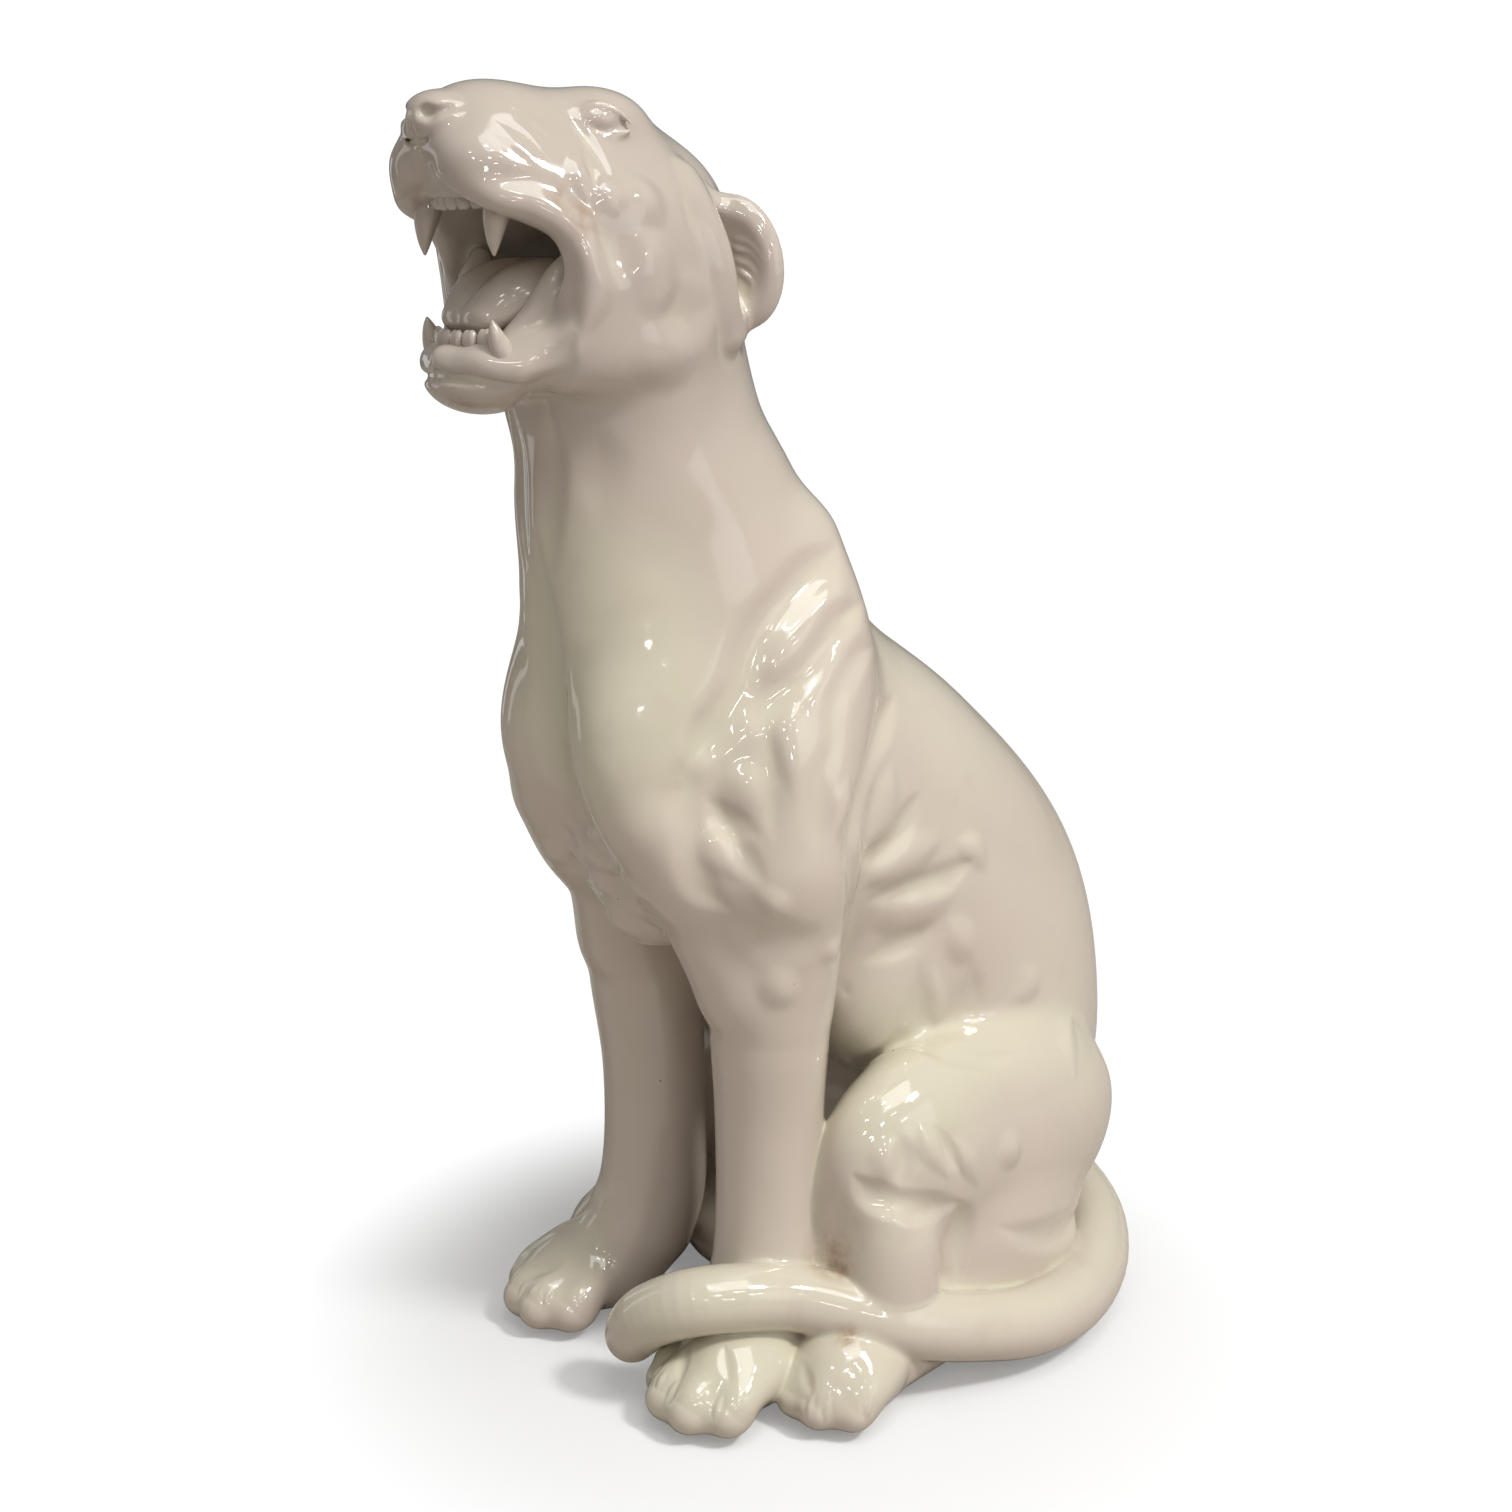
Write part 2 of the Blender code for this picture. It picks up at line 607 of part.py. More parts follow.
# Names and glaze
pieces = [glaze(torso, "torso", CREAM, 0.14), glaze(head, "head", CREAM, 0.14),
          glaze(lower_jaw, "lower_jaw", CREAM, 0.14), glaze(tail, "tail", CREAM, 0.14),
          glaze(tongue, "tongue", SHADE, 0.16)]
for side, word in ((LEFT, "left"), (RIGHT, "right")):
    pieces.append(glaze(ears[side], "ear_" + word, CREAM, 0.14))
    pieces.append(glaze(forelegs[side], "front_leg_" + word, CREAM, 0.14))
    pieces.append(glaze(hind_legs[side], "hind_leg_" + word, CREAM, 0.14))
    pieces.append(glaze(fangs["upper", side], "upper_canine_" + word, CREAM, 0.12))
    pieces.append(glaze(fangs["lower", side], "lower_canine_" + word, CREAM, 0.12))
    pieces.append(glaze(fangs["cheek", side], "cheek_teeth_" + word, CREAM, 0.12))
pieces.append(glaze(fangs["upper", 0], "upper_incisors", CREAM, 0.12))
pieces.append(glaze(fangs["lower", 0], "lower_incisors", CREAM, 0.12))
for piece in pieces:
    tidy(piece)
for side, word in ((LEFT, "left"), (RIGHT, "right")):
    for (x, y), where in ((FRONT_BUMPER, "front"), (HIND_BUMPER, "hind"), (RUMP_BUMPER, "rump")):
        name = "bumper_" + where + "_" + word
        pieces.append(glaze(make_bumper(x * side, y), name, (0.62, 0.60, 0.55), 0.25, 0.6))
discard(*foreleg_rooms.values(), *haunch_blocks.values(), *haunch_rooms.values(), *leg_sockets.values())

# Stand the figure over the origin
corners = [vert.co for piece in pieces for vert in piece.data.vertices]
middle_x = (min(c.x for c in corners) + max(c.x for c in corners)) / 2
middle_y = (min(c.y for c in corners) + max(c.y for c in corners)) / 2
for piece in pieces:
    piece.data.transform(Matrix.Translation((-middle_x, -middle_y, 0.0)))
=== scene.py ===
# %% [markdown]
# # A glazed ceramic panther
#
# The real object is a seated panther cast in pottery, about 87 cm tall. It was made in sections from
# liquid clay, joined with slip while still soft, carved a little more by hand, and dipped in a cream
# glaze. So it has no hard edges: forms swell into each other, creases are soft, and the glaze is thick
# and shiny. This notebook makes the look of it around a fixed frame, which is the measured model.

# %% Load the frame
import math
import time

import bmesh
import bpy
import numpy as np
from mathutils import Matrix, Vector


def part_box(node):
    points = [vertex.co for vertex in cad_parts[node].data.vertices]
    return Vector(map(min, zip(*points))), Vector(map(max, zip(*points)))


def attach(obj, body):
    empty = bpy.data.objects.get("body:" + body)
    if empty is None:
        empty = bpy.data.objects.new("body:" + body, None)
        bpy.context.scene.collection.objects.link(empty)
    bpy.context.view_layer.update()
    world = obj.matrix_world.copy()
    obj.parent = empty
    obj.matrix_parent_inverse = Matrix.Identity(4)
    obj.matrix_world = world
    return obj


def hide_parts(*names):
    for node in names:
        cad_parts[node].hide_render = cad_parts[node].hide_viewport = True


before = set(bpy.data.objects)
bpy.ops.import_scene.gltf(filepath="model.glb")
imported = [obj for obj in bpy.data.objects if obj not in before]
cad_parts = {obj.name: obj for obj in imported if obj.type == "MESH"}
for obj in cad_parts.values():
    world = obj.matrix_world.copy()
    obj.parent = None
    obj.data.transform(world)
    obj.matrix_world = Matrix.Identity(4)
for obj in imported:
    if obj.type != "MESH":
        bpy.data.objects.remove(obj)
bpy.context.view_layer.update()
MM = 0.001
LEFT, RIGHT = 1, -1

print("frame nodes:", len(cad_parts))

# %% [markdown]
# The forms below are written in millimetres about the animal's own middle plane, with the floor at
# z = 0, because that is how a sculptor would measure it. One bumper of the frame tells where that
# middle plane stands in the frame's own axes.

# %% Where the animal stands
FRONT_BUMPER = np.array([86.0, -46.0, 0.0])
low, high = (np.array(corner, float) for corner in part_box("bumper_front_left"))
STAND = ((low + high) / 2 / MM - FRONT_BUMPER) * np.array([1.0, 1.0, 0.0])
print("middle plane stands at, mm:", STAND.round(1))

# %% [markdown]
# ## Clay
#
# Blender's sculpt brushes can't be written down as a script, and joining hundreds of spheres with
# Booleans leaves hard seams. A distance field can do what a sculptor's hands do. It is a block of
# small cells, each holding how far it is from the surface, and adding a ball or a roll of clay only
# means keeping the smaller distance, with a soft dip where two are nearly equal. Pressing a tool in
# is the same with the sign turned. Two shapes are enough: a ball and a roll.


# %% [markdown]
# A ball of clay, pressed longer or flatter, is an ellipsoid. It could be a stretched sphere mesh. Kept as
# a formula it has no faces, so it can be blended into its neighbours before any mesh is made.


# %% A ball of clay
class Ball:
    """An ellipsoid: centre and radii in millimetres, turned in degrees about X, Y and then Z."""

    def __init__(self, centre, radii, turn=(0, 0, 0)):
        self.centre = np.array(centre, float)
        self.radii = np.array(radii, float) * np.ones(3)
        self.turn = turn
        cx, cy, cz = np.cos(np.radians(turn))
        sx, sy, sz = np.sin(np.radians(turn))
        about_x = np.array([[1, 0, 0], [0, cx, -sx], [0, sx, cx]])
        about_y = np.array([[cy, 0, sy], [0, 1, 0], [-sy, 0, cy]])
        about_z = np.array([[cz, -sz, 0], [sz, cz, 0], [0, 0, 1]])
        self.axes = about_z @ about_y @ about_x
        reach = np.sqrt((self.axes ** 2) @ (self.radii ** 2))
        self.low, self.high = self.centre - reach, self.centre + reach
        self.parts = [self]

    def other_side(self):
        x, y, z = self.centre
        a, b, c = self.turn
        return Ball((-x, y, z), self.radii, (a, -b, -c))

    def distance(self, x, y, z):
        x, y, z = x - self.centre[0], y - self.centre[1], z - self.centre[2]
        near = far = 0
        for axis in range(3):
            along = self.axes[:, axis]
            step = (along[0] * x + along[1] * y + along[2] * z) / self.radii[axis]
            near = near + step ** 2
            far = far + (step / self.radii[axis]) ** 2
        near = np.sqrt(near)
        return near * (near - 1) / (np.sqrt(far) + 1e-9)


trial = Ball((0, 0, 0), 10)
print("15 mm from the middle of a 10 mm ball, mm outside:", float(trial.distance(15.0, 0.0, 0.0)))


# %% [markdown]
# Legs, tail, lips and locks of hair are rolls: clay rolled out, tapered and bent. A curve with a bevel
# would draw one, but couldn't be blended. So a roll is a chain of short tapered lengths on a smooth path.


# %% A roll of clay
class RollPart:
    """One short tapered length of a roll."""

    def __init__(self, start, end):
        self.start, self.end = start, end
        reach = max(start[3], end[3], start[4], end[4])
        self.low = np.minimum(start[:3], end[:3]) - reach
        self.high = np.maximum(start[:3], end[:3]) + reach

    def distance(self, x, y, z):
        run = self.end - self.start
        x, y, z = x - self.start[0], y - self.start[1], z - self.start[2]
        share = np.clip((x * run[0] + y * run[1] + z * run[2]) / (run[:3] @ run[:3]), 0, 1)
        x, y, z = x - share * run[0], y - share * run[1], z - share * run[2]
        radius = self.start[3] + run[3] * share
        width = self.start[4] + run[4] * share
        round_part = y ** 2 + z ** 2
        near = np.sqrt((x / width) ** 2 + round_part / radius ** 2)
        far = np.sqrt((x / width ** 2) ** 2 + round_part / radius ** 4) + 1e-9
        return near * (near - 1) / far


class Roll:
    """A smooth roll through rows of (x, y, z, radius) or (x, y, z, radius, half-width along X)."""

    def __init__(self, rows, stations=None):
        self.rows = np.array([tuple(row) + (row[3],) * (5 - len(row)) for row in rows], float)
        self.stations = stations or 5 * len(rows)
        line = self.through(self.rows, self.stations)
        self.parts = [RollPart(a, b) for a, b in zip(line, line[1:])]
        self.low = np.min([part.low for part in self.parts], 0)
        self.high = np.max([part.high for part in self.parts], 0)

    @staticmethod
    def through(rows, count):
        ends = np.vstack([2 * rows[0] - rows[1], rows, 2 * rows[-1] - rows[-2]])
        line = []
        for u in np.linspace(0, len(rows) - 1, count):
            i = min(int(u), len(rows) - 2)
            t = u - i
            p0, p1, p2, p3 = ends[i:i + 4]
            curve = 2 * p1 + (p2 - p0) * t + (2 * p0 - 5 * p1 + 4 * p2 - p3) * t ** 2
            line.append(0.5 * (curve + (3 * p1 - p0 - 3 * p2 + p3) * t ** 3))
        return np.array(line)

    def other_side(self):
        return Roll(self.rows * [-1, 1, 1, 1, 1], self.stations)

    def length(self):
        """Millimetres along the middle."""
        return sum(float(np.linalg.norm(part.end[:3] - part.start[:3])) for part in self.parts)


trial = Roll([(0, 0, 0, 5), (0, 50, 0, 5), (0, 100, 0, 5)])
print("a straight roll of 100 mm measures:", round(trial.length()))


# %% [markdown]
# The block of cells is where the modelling happens. Its methods are the moves of the bench: add clay,
# press a tool in, draw a stroke, join two lumps, level the underside, wipe with a sponge. The last ones
# read the surface back, so that a mesh can be laid over it.


# %% The block of cells
class Clay:
    """A block of cells between two corners, each holding the distance to the surface."""

    def __init__(self, low, high, cell):
        self.low, self.cell = np.array(low, float), cell
        counts = np.ceil((np.array(high) - self.low) / cell).astype(int) + 1
        self.lines = [self.low[i] + cell * np.arange(counts[i]) for i in range(3)]
        self.far = np.full(counts, 60.0, np.float32)

    def window(self, low, high):
        spans = []
        for low_side, high_side, start, line in zip(low, high, self.low, self.lines):
            first = max(int((low_side - start) / self.cell), 0)
            last = min(int((high_side - start) / self.cell) + 2, len(line))
            if last <= first:
                return None, None
            spans.append(slice(first, last))
        x, y, z = (line[span].astype(np.float32) for line, span in zip(self.lines, spans))
        return tuple(spans), (x[:, None, None], y[None, :, None], z[None, None, :])

    def measure(self, shape, margin):
        spans, _ = self.window(shape.low - margin, shape.high + margin)
        if spans is None:
            return None, None
        found = np.full(self.far[spans].shape, 90.0, np.float32)
        for part in shape.parts:
            inner, places = self.window(part.low - margin, part.high + margin)
            if inner is None:
                continue
            local = tuple(slice(a.start - b.start, a.stop - b.start) for a, b in zip(inner, spans))
            found[local] = np.minimum(found[local], part.distance(*places))
        return spans, found

    def add(self, shape, soft=10.0, both=False):
        """Press clay on; soft is how far, in millimetres, the join is smoothed over."""
        spans, found = self.measure(shape, soft + 3 * self.cell + 12)
        if spans is not None:
            here = self.far[spans]
            dip = np.maximum(soft - np.abs(here - found), 0) ** 2 / (4 * soft)
            self.far[spans] = np.minimum(here, found) - dip
        if both:
            self.add(shape.other_side(), soft)

    def press(self, shape, soft=4.0, both=False):
        """Press a tool in, and ease the edge of the dent."""
        spans, found = self.measure(shape, soft + 3 * self.cell)
        if spans is not None:
            here = self.far[spans]
            rise = np.maximum(soft - np.abs(here + found), 0) ** 2 / (4 * soft)
            self.far[spans] = np.maximum(here, -found) + rise
        if both:
            self.press(shape.other_side(), soft)

    def stroke(self, shape, width, depth):
        """Sink a soft valley along a roll, or raise a ridge where the depth is below zero."""
        spans, found = self.measure(shape, 2 * self.cell)
        if spans is not None:
            share = np.clip(-found / width, 0, 1)
            self.far[spans] += depth * share ** 2 * (3 - 2 * share)

    def join(self, other, soft):
        """Press another block of the same window on."""
        dip = np.maximum(soft - np.abs(self.far - other.far), 0) ** 2 / (4 * soft)
        self.far = np.minimum(self.far, other.far) - dip

    def slice_below(self, height):
        """Level the underside, as a wet sponge does."""
        self.far = np.maximum(self.far, (height - self.lines[2]).astype(np.float32)[None, None, :])

    def sponge(self, reach):
        """Wipe over the whole surface, over about this many millimetres."""
        for _ in range(round(2 * (reach / self.cell) ** 2)):
            for axis in range(3):
                field = np.moveaxis(self.far, axis, 0)
                field[1:-1] = 0.25 * field[:-2] + 0.5 * field[1:-1] + 0.25 * field[2:]

    def sample(self, points):
        """The distance at any points, between the cells."""
        place = (points - self.low) / self.cell
        place = np.clip(place, 0, np.array(self.far.shape) - 1.001)
        index = place.astype(int)
        share = place - index
        total = 0
        for corner in np.ndindex(2, 2, 2):
            weight = np.prod(np.where(corner, share, 1 - share), axis=1)
            total = total + weight * self.far[tuple((index + corner).T)]
        return total

    def onto(self, points, lift=0.0):
        """Slide points onto the surface, then lift them off it by so many millimetres."""
        points = np.array(points, float)
        for _ in range(8):
            points -= 0.8 * self.sample(points)[:, None] * self.slope(points)
        return points + lift * self.slope(points)

    def slope(self, points):
        """The outward direction of the surface at any points."""
        steps = 0.75 * self.cell * np.eye(3)
        rise = np.stack([self.sample(points + s) - self.sample(points - s) for s in steps], axis=1)
        return rise / (np.linalg.norm(rise, axis=1, keepdims=True) + 1e-9)

    def skin(self):
        """Points and four-sided faces over the surface, one point to each cell that it crosses."""
        inside = self.far < 0
        shape = np.array(inside.shape) - 1
        corners = list(np.ndindex(2, 2, 2))
        count = np.zeros(shape, np.int8)
        for corner in corners:
            count += inside[tuple(slice(c, c + n) for c, n in zip(corner, shape))]
        crossed = (count > 0) & (count < 8)
        cells = np.argwhere(crossed)
        number = np.full(shape, -1, np.int32)
        number[crossed] = np.arange(len(cells))
        values = {corner: self.far[tuple((cells + corner).T)] for corner in corners}
        total = np.zeros((len(cells), 3))
        hits = np.zeros(len(cells))
        for a in corners:
            for axis in range(3):
                if a[axis]:
                    continue
                b = tuple(a[i] + (i == axis) for i in range(3))
                cross = (values[a] < 0) != (values[b] < 0)
                share = values[a][cross] / (values[a][cross] - values[b][cross])
                total[cross] += np.array(a) + share[:, None] * (np.array(b) - np.array(a))
                hits[cross] += 1
        points = self.low + self.cell * (cells + total / hits[:, None])
        faces = []
        for axis in range(3):
            u, v = (axis + 1) % 3, (axis + 2) % 3
            near = [slice(1, -1)] * 3
            next_on = [slice(1, -1)] * 3
            near[axis], next_on[axis] = slice(0, -1), slice(1, None)
            here, there = inside[tuple(near)], inside[tuple(next_on)]
            edges = np.argwhere(here != there)
            leaving = here[tuple(edges.T)]
            edges[:, [u, v]] += 1
            du, dv = np.eye(3, dtype=int)[u], np.eye(3, dtype=int)[v]
            ring = [number[tuple(e.T)] for e in (edges - du - dv, edges - dv, edges, edges - du)]
            ring = np.stack(ring, axis=1)
            ring[~leaving] = ring[~leaving][:, ::-1]
            faces.append(ring)
        return points, np.vstack(faces)


trial = Clay((-12, -12, -12), (12, 12, 12), 1.0)
trial.add(Ball((0, 0, 0), 10))
print("faces laid over a 10 mm ball:", len(trial.skin()[1]))


# %% [markdown]
# ## Trunk and neck
#
# The trunk is one roll of clay from the jaw to the rump, wide at the hips, with the neck held
# upright. Balls of clay over it make the breast, the shoulders and the elbows. The join is very soft
# here, because a big cat's muscles lie under loose skin.

# %% Trunk, chest and shoulders
SPINE = [(0, -62, 730, 70, 66), (0, -59, 686, 76, 71), (0, -53, 640, 85, 78), (0, -34, 600, 90, 85),
         (0, -18, 550, 99, 95), (0, 4, 488, 110, 104), (0, 48, 422, 127, 107), (0, 127, 359, 133, 109),
         (0, 198, 275, 142, 116), (0, 221, 195, 136, 121), (0, 214, 150, 129, 118)]
UPPER_ARM = [(52, 30, 585, 28), (74, 22, 520, 42), (84, -4, 450, 50), (84, -14, 390, 50)]
LEG_TOP = [(78, -10, 390, 52), (77, -6, 335, 46), (71, -6, 282, 43)]
THROAT = [(0, -128, 704, 24, 30), (0, -107, 668, 24, 35), (0, -93, 635, 36, 48), (0, -90, 600, 48, 55),
          (0, -78, 556, 58, 68)]
INNER_LEG = [(53, -88, 419, 32), (58, -65, 386, 34), (55, -45, 351, 33), (57, -41, 337, 32),
             (66, -28, 300, 32)]
print("spine, mm:", round(Roll(SPINE).length()))


def model_trunk(clay):
    clay.add(Roll(SPINE, 110), 1)
    clay.add(Roll(THROAT), 18)
    clay.add(Ball((0, -34, 500), (80, 94, 106)), 28)
    clay.add(Ball((42, -58, 466), (48, 78, 86), (8, 0, 0)), 22, both=True)
    clay.add(Ball((52, -62, 402), (34, 42, 54)), 16, both=True)
    clay.add(Roll(INNER_LEG), 16, both=True)
    clay.add(Ball((0, -40, 380), (36, 60, 70)), 20)
    clay.add(Roll(UPPER_ARM), 26, both=True)
    clay.add(Roll(LEG_TOP), 18, both=True)
    clay.add(Ball((100, -10, 374), (27, 38, 54), (-8, 0, 0)), 14, both=True)
    clay.add(Ball((0, 206, 76), (114, 118, 84)), 24)
    clay.add(Ball((0, 132, 84), (92, 80, 88)), 20)
    clay.add(Ball((58, 106, 268), (44, 56, 68)), 20, both=True)
    clay.add(Ball((38, -84, 716), (38, 48, 42), (-12, 0, 0)), 18, both=True)
    clay.add(Ball((26, -84, 690), (42, 46, 44)), 24, both=True)
    clay.sponge(4.0)


# %% [markdown]
# ## Forelegs and paws
#
# Each foreleg is a column that swells into the shoulder at the top and into the paw at the bottom.
# Four toes are short rolls, pressed on with a small softness so that the clefts between them stay.

# %% Forelegs
FORELEG = [(72, -6, 296, 40), (70, -6, 262, 41), (66, -3, 200, 38), (66, -2, 140, 38), (68, -4, 95, 40),
           (72, -12, 66, 41)]
FRONT_TOES = ((58, -92), (77, -107), (99, -106), (119, -88))
print("foreleg, mm:", round(Roll(FORELEG).length()), "toes:", len(FRONT_TOES))


def model_foreleg(clay, side):
    def here(shape):
        return shape if side == LEFT else shape.other_side()

    clay.add(here(Roll(FORELEG)), 1)
    clay.add(here(Ball((86, -42, 34), (40, 52, 34), (0, 0, 18))), 14)
    for x, y in FRONT_TOES:
        toe = Roll([(x * 0.6 + 34, -36, 38, 16), (x, y + 18, 31, 15), (x, y + 4, 21, 14.5)])
        clay.add(here(toe), 9)
    clay.add(here(Roll([(58, -80, 20, 13), (77, -95, 20, 14), (99, -94, 20, 14), (117, -78, 20, 13)])), 8)


# %% [markdown]
# ## Haunches and hind feet
#
# The animal sits on its hocks, so the thigh and the folded knee make one big oval on each side, and
# the long hind foot comes out under it. The right one could be an exact mirror image. It is tucked in a
# little instead, because the far foot shows less in the photograph than a mirror image would.

# %% Haunches
SHANK = [(134, 44, 134, 29), (137, 46, 108, 34), (137, 44, 66, 36)]
HOCK_FRONT = [(100, 30, 150, 22), (100, 30, 105, 24), (100, 28, 62, 26)]
HIND_FOOT = [(120, 200, 50, 40), (128, 120, 42, 38), (136, 50, 36, 34), (139, 10, 33, 33)]
HIND_TOES = ((112, -26), (131, -38), (151, -36), (168, -20))
FAR_THIGH_TUCK, FAR_FOOT_TUCK, FAR_FOOT_BACK = 4, 10, 12
print("hind foot, mm:", round(Roll(HIND_FOOT).length()), "toes:", len(HIND_TOES))


def model_haunches(clay):
    for side in (LEFT, RIGHT):
        tuck = 0 if side == LEFT else 1
        thigh, foot = (FAR_THIGH_TUCK * tuck, 0), (FAR_FOOT_TUCK * tuck, FAR_FOOT_BACK * tuck)

        def press_on(shape, soft):
            clay.add(shape if side == LEFT else shape.other_side(), soft)

        def at(rows, move):
            return [(row[0] - move[0], row[1] + move[1]) + tuple(row[2:]) for row in rows]

        press_on(Ball((110 - thigh[0], 156, 142), (52, 140, 92), (2, 0, 0)), 16)
        press_on(Ball((118 - thigh[0], 88, 166), (46, 81, 68), (4, 0, 0)), 20)
        press_on(Ball((116 - thigh[0], 152, 80), (50, 96, 66)), 16)
        press_on(Ball((64, 94, 40), (58, 60, 46)), 12)
        press_on(Roll(at(HOCK_FRONT, thigh)), 12)
        press_on(Roll(at(SHANK, thigh)), 10)
        press_on(Roll(at(HIND_FOOT, foot)), 12)
        press_on(Ball((139 - foot[0], 4 + foot[1], 32), (36, 40, 32), (0, 0, 12)), 12)
        for x, y in HIND_TOES:
            toe = [(x * 0.7 + 42, 16, 36, 16), (x, y + 16, 30, 15), (x, y + 4, 20, 13.5)]
            press_on(Roll(at(toe, foot)), 9)
        front = [(114, -14, 20, 12), (131, -26, 20, 13), (151, -24, 20, 13), (166, -10, 20, 12)]
        press_on(Roll(at(front, foot)), 8)


# %% [markdown]
# ## Tail
#
# The tail leaves the rump low down, comes round the left haunch over the hind foot, and ends in a
# turned-down tip beside the front paw. One tapered roll makes it. The rows give its middle and its
# radius, read off from where it crosses the haunch, the leg and the paw.

# %% Tail
TAIL = [(-40, 252, 76, 34), (-14, 268, 70, 33), (14, 292, 60, 31.5), (52, 308, 50, 30), (104, 292, 39, 28),
        (148, 250, 33, 26), (176, 196, 32, 25), (184, 144, 36, 25), (176, 98, 44, 24), (160, 46, 58, 23.5),
        (134, 12, 70, 23), (110, -18, 80, 23), (94, -54, 86, 23), (76, -80, 84, 23), (52, -94, 70, 22),
        (36, -96, 55, 21), (28, -95, 44, 19)]
print("tail, mm:", round(Roll(TAIL).length()))


def model_tail(clay):
    clay.add(Roll(TAIL, 72), 1)


# %% [markdown]
# ## Head
#
# The head is thrown back in a roar. The skull, the cheeks and the muzzle are balls of clay; the
# mouth is then hollowed out with a big round tool, and the lips are rolled on again round its edge.

# %% A mark of the loop tool
FADE = 0.3


def mark(depth, width, path, clay=None):
    """One stroke, thin at both ends, slid onto the skin of a block if there is one."""
    if len(path) == 2:
        path = [path[0], tuple(np.mean(path, 0)), path[1]]
    if clay:
        path = clay.onto(path)
    widths = [FADE * width] + [width] * (len(path) - 2) + [FADE * width]
    return depth, width, Roll([tuple(p) + (w,) for p, w in zip(path, widths)])


def draw_marks(clay, placed):
    for depth, width, shape in placed:
        clay.stroke(shape, width, depth)
        clay.stroke(shape.other_side(), width, depth)


# %% [markdown]
# The skull is a few large balls: braincase, brow, cheeks, jowls and the bridge of the muzzle. A big cat's
# head could be cut from a subdivided box, but balls keep the full, rounded look of a cast figure.

# %% Skull, cheeks and muzzle
MUZZLE = [(0, -188, 838, 25, 30), (0, -168, 837, 33, 43), (0, -135, 829, 38, 52), (0, -98, 818, 44, 57)]
print("muzzle, mm:", round(Roll(MUZZLE).length()))


def model_skull(clay):
    clay.add(Ball((0, -64, 776), (60, 68, 70), (-20, 0, 0)), 18)
    clay.add(Ball((0, -94, 826), (50, 54, 34), (-12, 0, 0)), 16)
    clay.add(Ball((46, -92, 762), (34, 56, 64), (-12, 0, 0)), 20, both=True)
    clay.add(Ball((56, -122, 762), (27, 37, 58)), 18, both=True)
    clay.add(Roll(MUZZLE), 14)
    clay.add(Ball((42, -148, 806), (27, 38, 26), (10, 0, 0)), 16, both=True)
    clay.add(Ball((27, -180, 825), (30, 33, 21), (6, 20, -6)), 14, both=True)
    clay.add(Ball((31, -104, 850), (22, 26, 15), (-6, 10, 0)), 14, both=True)
    clay.sponge(4.0)


# %% [markdown]
# The mouth is hollowed out with one big round tool. The lower lip is then a roll laid right round the
# opening, so the rim is round and full, with the ball of the chin under it and the gum behind it.

# %% Mouth, lips and chin
MOUTH_TOOL = [(0, -250, 770, 33, 56), (0, -190, 767, 35, 61), (0, -150, 765, 34, 60), (0, -125, 761, 26, 50)]
LIP = [(0, -198, 711, 6.5), (24, -192, 710, 6.5), (41, -180, 706, 7), (55, -164, 708, 8),
       (63, -151, 720, 8.5), (68, -143, 737, 8.5), (71, -141, 755, 8.5), (71, -146, 771, 8.5),
       (68, -157, 787, 8.5), (60, -172, 797, 8.5), (49, -189, 802, 8), (36, -198, 809, 7.5),
       (22, -203, 817, 6)]
JAW_SIDE = [(22, -176, 706, 20), (44, -152, 712, 21), (52, -118, 718, 27), (46, -84, 730, 38)]
CHIN_CREASE = [(0, -206, 702, 2.5), (24, -199, 701, 2.5), (38, -188, 698, 1.8), (46, -180, 697, 0.8)]
GUM_RIDGE = [(50, -140, 768, 7), (46, -148, 758, 8.5), (42, -154, 747, 9), (38, -160, 736, 9),
             (32, -168, 726, 8)]
print("lip, half way round, mm:", round(Roll(LIP).length()))


def model_mouth(clay):
    clay.add(Roll(JAW_SIDE), 14, both=True)
    clay.sponge(3.0)
    clay.press(Roll(MOUTH_TOOL, 40), 8)
    clay.add(Ball((0, -160, 703), (46, 33, 19)), 6)
    clay.add(Roll(LIP, 70), 9, both=True)
    clay.add(Ball((0, -174, 701), (40, 33, 23)), 4)
    clay.press(Roll(CHIN_CREASE, 24), 5, both=True)
    clay.add(Ball((0, -178, 808), (36, 19, 11)), 6)
    clay.add(Roll(GUM_RIDGE), 5, both=True)


# %% [markdown]
# The nose is a ball on the end of the muzzle. The nostrils and the groove down to the lip are pressed
# in, as a modeller does it with the end of a rounded stick.

# %% Nose
NOSE_BALL = Ball((0, -200, 846), (24, 16, 16), (-20, 0, 0))


def model_nose(clay):
    clay.add(NOSE_BALL, 6)
    clay.press(Ball((13, -215, 849), (6.5, 7, 4.5), (10, 0, 35)), 3, both=True)
    clay.press(Roll([(15, -212, 848, 2.4), (22, -204, 851, 2.0), (29, -193, 856, 0.6)], 24), 4, both=True)
    clay.press(Roll([(0, -218, 850, 0.6), (0, -217, 842, 1.2), (0, -211, 832, 2.2), (0, -209, 822, 3),
                     (0, -206, 812, 2)], 30), 3)
    wing = [(1, -212, 833, 1.2), (12, -210, 835, 1.2), (21, -203, 840, 0.9), (28, -194, 846, 0.3)]
    clay.press(Roll(wing, 30), 3, both=True)


# %% [markdown]
# Under one coat of cream glaze the eye has no pupil, only form. A socket is pressed in, the eyeball set
# in it, and the two lids laid over as thin rolls.


